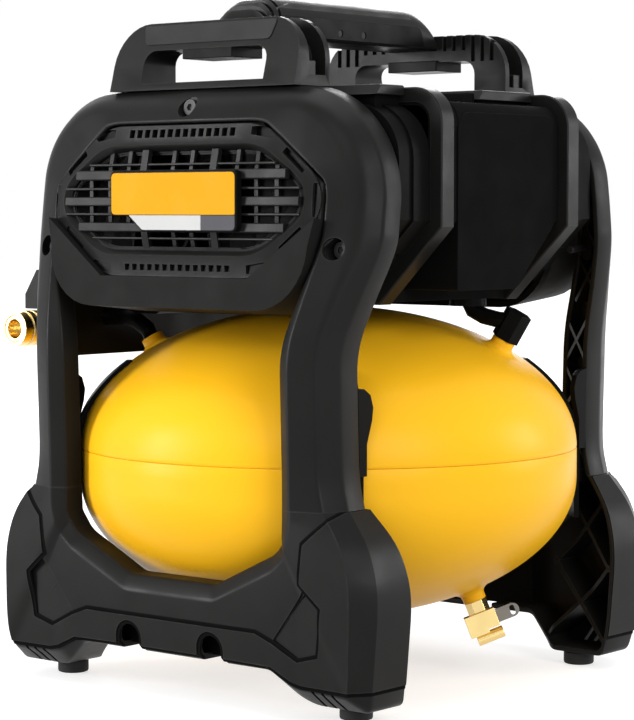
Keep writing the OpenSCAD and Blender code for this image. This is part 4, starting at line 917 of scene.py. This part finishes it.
def barrel():
    rings = []
    for low, high in RING_SPANS:
        profile = [(RING_IN, low), (RING_EDGE, low), (0.0, low + RING_EDGE), (0.0, high - RING_EDGE),
                   (RING_EDGE, high), (RING_IN, high)]
        rings.append(loft("ring", [barrel_ring(g, y) for g, y in profile], closed=True))
    piece(join("barrel_rings", rings), "charcoal", angle=24.0)
    skin = shade(loft("barrel_skin", [barrel_ring(g, y) for g, y in SKIN], closed=True))
    boolean(skin, box_object("belly", (-91, -55.6, 226), (91, 55.6, 234.8)), "UNION")
    boolean(skin, prism("hole", circle(8.0, 40, 81, 32), 215, 250, lambda x, y, z: (x, y, z)))
    piece(skin, "matte", "barrel_cover", bevel=0.6)
    piece(both_sides(loft("barrel_side_covers", [cover_ring(*c) for c in COVERS])), "matte")
    face = rounded(FLAT_COVER, [2.0, 5.0, 8.0, 12.0, 12.0], [3, 4, 4, 6, 6])
    flat = shade(prism("barrel_flat_cover", face, 80, 130, sideways))
    boolean(flat, prism("wedge", FLAT_WEDGE, -50, 60, across), "INTERSECT")
    piece(flat, "matte", angle=24.0, bevel=0.8)
    pads, risers = [], []
    for low, high, left in PADS:
        section = [(left, PAD_LOW), (PAD_RIGHT, PAD_LOW), (PAD_RIGHT, PAD_EDGE), (PAD_RIGHT - 1, PAD_TOP),
                   (left + 1, PAD_TOP), (left, PAD_EDGE)]
        ends = [np.array([(x, y + (z - PAD_LOW) / (PAD_TOP - PAD_LOW) * lead, z) for x, z in section])
                for y, lead in ((low, PAD_LEAD), (high, 0.0))]
        pads.append(loft("pad", ends))
        risers.append(box_object("riser", (left + 4, low + PAD_LEAD, 334.5), (PAD_RIGHT - 4, high, 341.6)))
    nose = rounded(NOSE, [1.0, 1.0, 1.0, 2.0], [2, 2, 2, 3])
    risers.append(prism("nose", nose, -106, 107, sideways))
    piece(join("barrel_pads", pads), "charcoal", bevel=0.6)
    piece(join("barrel_risers", [shade(r) for r in risers]), "matte", bevel=0.5)


# Loop handles: the solids with slots in their inner faces, and a grip, an insert and stops on each

LOOP_FRONT, LOOP_BACK, LOOP_LEAN, LOOP_H = 115.2, 84.0, 10.4, 39.0
LOOP_SLOTS, SLOT_HALF, SLOT_DEEP = (24.2, 31.4, 38.6, 45.8, 53.0, 60.0), 1.5, 3.2
LOOP_GRIP = [(47.5, 373.4), (51, 384.6), (-51, 384.6), (-47.5, 373.4)]
LOOP_INSERT, LOOP_STOPS = ((-19, -108.5, 364.4), (19, -82, 371)), (-69, 61)


def loop_frame(x, z, d):
    """A point on the loop's leaning outer face."""
    return (x, -LOOP_FRONT + LOOP_LEAN * (z - HOOD_TOP) / LOOP_H + d, z)


def loops():
    cuts = []
    for x in [side * x for side in (-1, 1) for x in LOOP_SLOTS]:
        low = 369.5 if abs(x) > 42 else 376.5
        cuts.append(box_object("slot", (x - SLOT_HALF, -LOOP_BACK - SLOT_DEEP, low),
                               (x + SLOT_HALF, -LOOP_BACK + 2, 400)))
    cuts = join("cuts", cuts)
    pad = prism("front_grip", rounded(LOOP_GRIP, [2.5] * 4, [4] * 4), -0.8, 1.0, loop_frame)
    insert = box_object("front_insert", *LOOP_INSERT)
    stops = [box_object("stop", (x, -101.6, 352.6), (x + 8, -94.5, 361)) for x in LOOP_STOPS]
    fittings = ((pad, "rubber"), (insert, "black"), (join("front_stops", stops), "charcoal"))
    for end, tool in (("front", cuts), ("rear", mirrored(cuts, "cuts", 1))):
        loop = shade(linked(end + "_loop", NODES[end + "_handle"].data.copy()))
        boolean(loop, tool)
        piece(loop, "charcoal", end + "_handle", bevel=1.0)
        for made, slot in fittings:
            obj = made if end == "front" else mirrored(made, made.name.replace("front", "rear"), 1)
            piece(obj, slot, bevel=0.5)


# Console: gauge marks, rims and needle caps, the knob's scale and cap, and the switch's marks

GAUGES, DIAL_Z, DIAL_FACE = (("tank", -30.0), ("outlet", 12.0)), 220.0, -155.8
KNOB_Y, KNOB_FACE, CONSOLE_FACE, SWITCH_Y = 54.0, -166.4, -153.0, -68.0
SWEEP = (225.0, -45.0)
ROCKER_TILT, ROCKER_FACE = 9.0, 4.2
TICKS, TICK_IN, MAJOR_IN, TICK_OUT, NUMBER_R, NUMBER_H, NUMBER_STEP = 40, 13.9, 12.6, 15.2, 9.9, 2.3, 4
RIM, RIM_X = [(17.0, 0.0), (18.6, 0.0), (18.6, 1.0), (18.2, 1.6), (17.5, 1.7), (17.0, 1.2)], -161.5
NEEDLE_CAP, NEEDLE_X = [(AXIS_R, 0.0), (1.9, 0.0), (1.9, 0.5), (1.4, 0.9), (AXIS_R, 1.0)], -158.3
KNOB_CAP = [(AXIS_R, 0.35), (8.0, 0.35), (8.6, 0.55), (9.4, 0.55), (9.9, 0.3), (10.0, -0.3), (AXIS_R, -0.3)]
SIGN_Y, SIGN_IN, SIGN_OUT = 4.3, 1.4, 1.9
DIGITS = {"0": "abcdef", "1": "bc", "2": "abged", "4": "fgbc", "6": "afgedc", "8": "abcdefg"}
STROKES = {"a": (0, 2, 1, 2), "b": (1, 2, 1, 1), "c": (1, 1, 1, 0), "d": (0, 0, 1, 0), "e": (0, 0, 0, 1),
           "f": (0, 1, 0, 2), "g": (0, 1, 1, 1)}


def face_point(cy, x0):
    """Places a drawing on a face that looks along -X: right in the drawing is -Y."""
    return lambda u, v, d: (x0 - d, cy - u, DIAL_Z + v)


def stroke(a, b, w, place, low=-0.05, high=0.14):
    a, b = np.array(a, float), np.array(b, float)
    along = (b - a) / np.linalg.norm(b - a) * w / 2
    side = np.array((-along[1], along[0]))
    corners = [a - along - side, b + along - side, b + along + side, a - along + side]
    return prism("stroke", corners, low, high, place)


def number(text, u, v, h, place):
    """A number in plain strokes, centred on a point."""
    k, made = h / 2, []
    for i, c in enumerate(text):
        left = u + (i - (len(text) - 1) / 2) * k * 1.55 - k * 0.5
        for x0, z0, x1, z1 in (STROKES[e] for e in DIGITS[c]):
            a, b = (left + x0 * k, v + (z0 - 1) * k), (left + x1 * k, v + (z1 - 1) * k)
            made.append(stroke(a, b, h * 0.15, place))
    return made


def sweep_point(r, t):
    """A point at a radius and a share of a dial's sweep."""
    a = math.radians(SWEEP[0] + (SWEEP[1] - SWEEP[0]) * t)
    return (r * math.cos(a), r * math.sin(a))


def band(inner, outer, start, stop, place, high=0.1, n=24, widen=0.0):
    """A strip round a dial, wider by widen at the end of the sweep."""
    shares = np.linspace(start, stop, n)
    line = [sweep_point(outer + widen * t, t) for t in shares] + [sweep_point(inner, t) for t in shares[::-1]]
    return prism("band", line, -0.05, high, place)


def turned(name, profile, segments, x, y):
    """A turned body whose axis looks out of the console."""
    place = Matrix.Translation((x * MM, y * MM, DIAL_Z * MM)) @ Matrix.Rotation(-math.pi / 2, 4, "Y")
    return lathe(name, profile, segments, place)


def console_marks():
    for name, cy in GAUGES:
        place, marks = face_point(cy, DIAL_FACE), []
        for k in range(TICKS + 1):
            t, major = k / TICKS, k % 5 == 0
            marks.append(stroke(sweep_point(MAJOR_IN if major else TICK_IN, t), sweep_point(TICK_OUT, t),
                                0.45 if major else 0.22, place))
            if k % 10 == 0:
                marks += number(str(k // 10 * NUMBER_STEP), *sweep_point(NUMBER_R, t), NUMBER_H, place)
        marks.append(band(15.5, 15.8, 0.0, 1.0, place, n=60))
        piece(join(name + "_gauge_marks", marks), "ink")
        piece(band(TICK_IN, TICK_OUT, 0.8, 1.0, place, high=0.06), "red").name = name + "_gauge_limit"
        piece(turned(name + "_gauge_rim", RIM, 96, RIM_X, cy), "steel")
        piece(turned(name + "_needle_cap", NEEDLE_CAP, 40, NEEDLE_X, cy), "ink", body=name + "_pointer")
    place = face_point(KNOB_Y, CONSOLE_FACE)
    piece(band(17.6, 18.0, 0.0, 1.0, place, high=0.12, n=60, widen=1.9), "print").name = "knob_scale"
    place = face_point(KNOB_Y, KNOB_FACE)
    piece(turned("knob_cap", KNOB_CAP, 72, KNOB_FACE, KNOB_Y), "charcoal", body="knob")
    piece(stroke((0, 9.8), (0, 12.4), 1.5, place, -0.3, 0.2), "print", body="knob").name = "knob_pointer"
    lean = math.radians(ROCKER_TILT)

    def rocker(u, v, d):
        """A point on the tilted face of the rocker."""
        x, y = -ROCKER_FACE - d, -u
        return (CONSOLE_FACE + 2 + x * math.cos(lean) - y * math.sin(lean),
                SWITCH_Y + x * math.sin(lean) + y * math.cos(lean), DIAL_Z + v)

    marks = [stroke((SIGN_Y, -1.6), (SIGN_Y, 1.6), 0.55, rocker, -0.1, 0.12)]
    outer, inner = (circle(r, 28, -SIGN_Y) for r in (SIGN_OUT, SIGN_IN))
    rings = [np.array([rocker(u, v, d) for u, v in flat])
             for flat, d in ((inner, -0.1), (inner, 0.12), (outer, 0.12), (outer, -0.1))]
    marks.append(loft("ring", rings, closed=True))
    piece(join("switch_marks", marks), "print", body="rocker")


frames()
tank()
carry_handle()
surround()
grille()
badge()
barrel()
loops()
console_marks()
REPLACED = {n for o in bpy.data.objects for n in o.get("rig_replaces", [])}
SOFT_EDGE = {"front_shroud": 0.6, "rear_shroud": 0.8, "console": 1.6, "battery_pack": 2.4, "rubber_feet": 1.2,
             "discharge_tube": 0.3, "outlet_tube": 0.0}
EDGE = 0.35
for name in NODES:
    if name not in REPLACED:
        dress(name, SOFT_EDGE.get(name, EDGE))


# Stage, light and camera, in metres and watts

AIM = (0.0, 0.0, 0.2)
LIGHTS = [("key", (-1.3, -1.6, 0.58), (0.45, 1.0), 33.0), ("front", (0.4, -2.2, 1.5), (1.4, 1.0), 8.0),
          ("right", (2.0, -0.7, 1.0), (1.0, 1.2), 22.0), ("rim", (1.35, 1.6, 0.62), (0.45, 0.8), 12.0),
          ("top", (0.0, 0.0, 2.2), (1.6, 1.6), 19.0), ("back", (-1.3, 1.7, 1.0), (1.2, 1.0), 26.0)]
WORLD_FILL, WORLD_SEEN = 0.55, 1.0
FLOOR_HALF, FLOOR_Z, FLOOR_GREY = 9000.0, -0.2, (0.5, 0.5, 0.5, 1.0)
FLOOR_GLOW, FLOOR_SPAN = (0.66, 1.0), (0.3, 0.9)
CAMERA_AT, CAMERA_LOOK, LENS, SENSOR = (0.9526, -1.1529, 0.2786), (-0.6393, 0.7665, -0.0608), 123.64, 36.0


def soft_light(name, place, size, watts):
    data = bpy.data.lights.new(name, "AREA")
    data.shape = "RECTANGLE"
    data.size, data.size_y = size
    data.energy = watts
    obj = linked(name, data)
    obj.location = place
    obj.rotation_euler = (Vector(AIM) - Vector(place)).to_track_quat("-Z", "Y").to_euler()


def seen_rays(tree):
    """1 for the rays that show the background: seen, mirrored and through glass."""
    path = tree.nodes.new("ShaderNodeLightPath")
    total = path.outputs["Is Camera Ray"]
    for other in ("Is Glossy Ray", "Is Transmission Ray"):
        add = tree.nodes.new("ShaderNodeMath")
        add.operation = "MAXIMUM"
        tree.links.new(total, add.inputs[0])
        tree.links.new(path.outputs[other], add.inputs[1])
        total = add.outputs[0]
    return total


def studio():
    """A white world that lights the part less than it shows."""
    world = bpy.data.worlds.new("studio")
    bpy.context.scene.world = world
    world.use_nodes = True
    tree = world.node_tree
    back = tree.nodes["Background"]
    back.inputs["Color"].default_value = (1.0, 1.0, 1.0, 1.0)
    level = tree.nodes.new("ShaderNodeMapRange")
    level.inputs["To Min"].default_value = WORLD_FILL
    level.inputs["To Max"].default_value = WORLD_SEEN
    tree.links.new(seen_rays(tree), level.inputs["Value"])
    tree.links.new(level.outputs["Result"], back.inputs["Strength"])


def stage():
    """A pale floor that turns white away from the part."""
    corners = [(x * FLOOR_HALF, y * FLOOR_HALF, FLOOR_Z) for x, y in ((-1, -1), (1, -1), (1, 1), (-1, 1))]
    floor = mesh_object("floor", corners, [(0, 1, 2, 3)])
    s = Shader("floor")
    s.tree.nodes.remove(s.bsdf)
    add, diffuse, glow = (s.node("ShaderNode" + kind) for kind in ("AddShader", "BsdfDiffuse", "Emission"))
    diffuse.inputs["Color"].default_value = FLOOR_GREY
    far = s.node("ShaderNodeVectorMath", operation="LENGTH")
    shown = s.node("ShaderNodeMath", operation="MULTIPLY")
    s.link(s.coords, far.inputs[0])
    s.link(s.span(far.outputs["Value"], *FLOOR_GLOW, *FLOOR_SPAN), shown.inputs[0])
    s.link(seen_rays(s.tree), shown.inputs[1])
    s.link(shown.outputs[0], glow.inputs["Strength"])
    s.link(diffuse.outputs[0], add.inputs[0])
    s.link(glow.outputs[0], add.inputs[1])
    s.link(add.outputs[0], s.out.inputs[0])
    floor.data.materials.append(s.material)


def camera():
    data = bpy.data.cameras.new("photo_view")
    data.sensor_fit = "VERTICAL"
    data.sensor_height = SENSOR
    data.lens = LENS
    data.dof.use_dof = False
    obj = linked("photo_view", data)
    obj.location = CAMERA_AT
    obj.rotation_euler = Vector(CAMERA_LOOK).to_track_quat("-Z", "Y").to_euler()
    bpy.context.scene.camera = obj


studio()
stage()
for light in LIGHTS:
    soft_light(*light)
camera()
bpy.context.scene.view_settings.view_transform = "Standard"
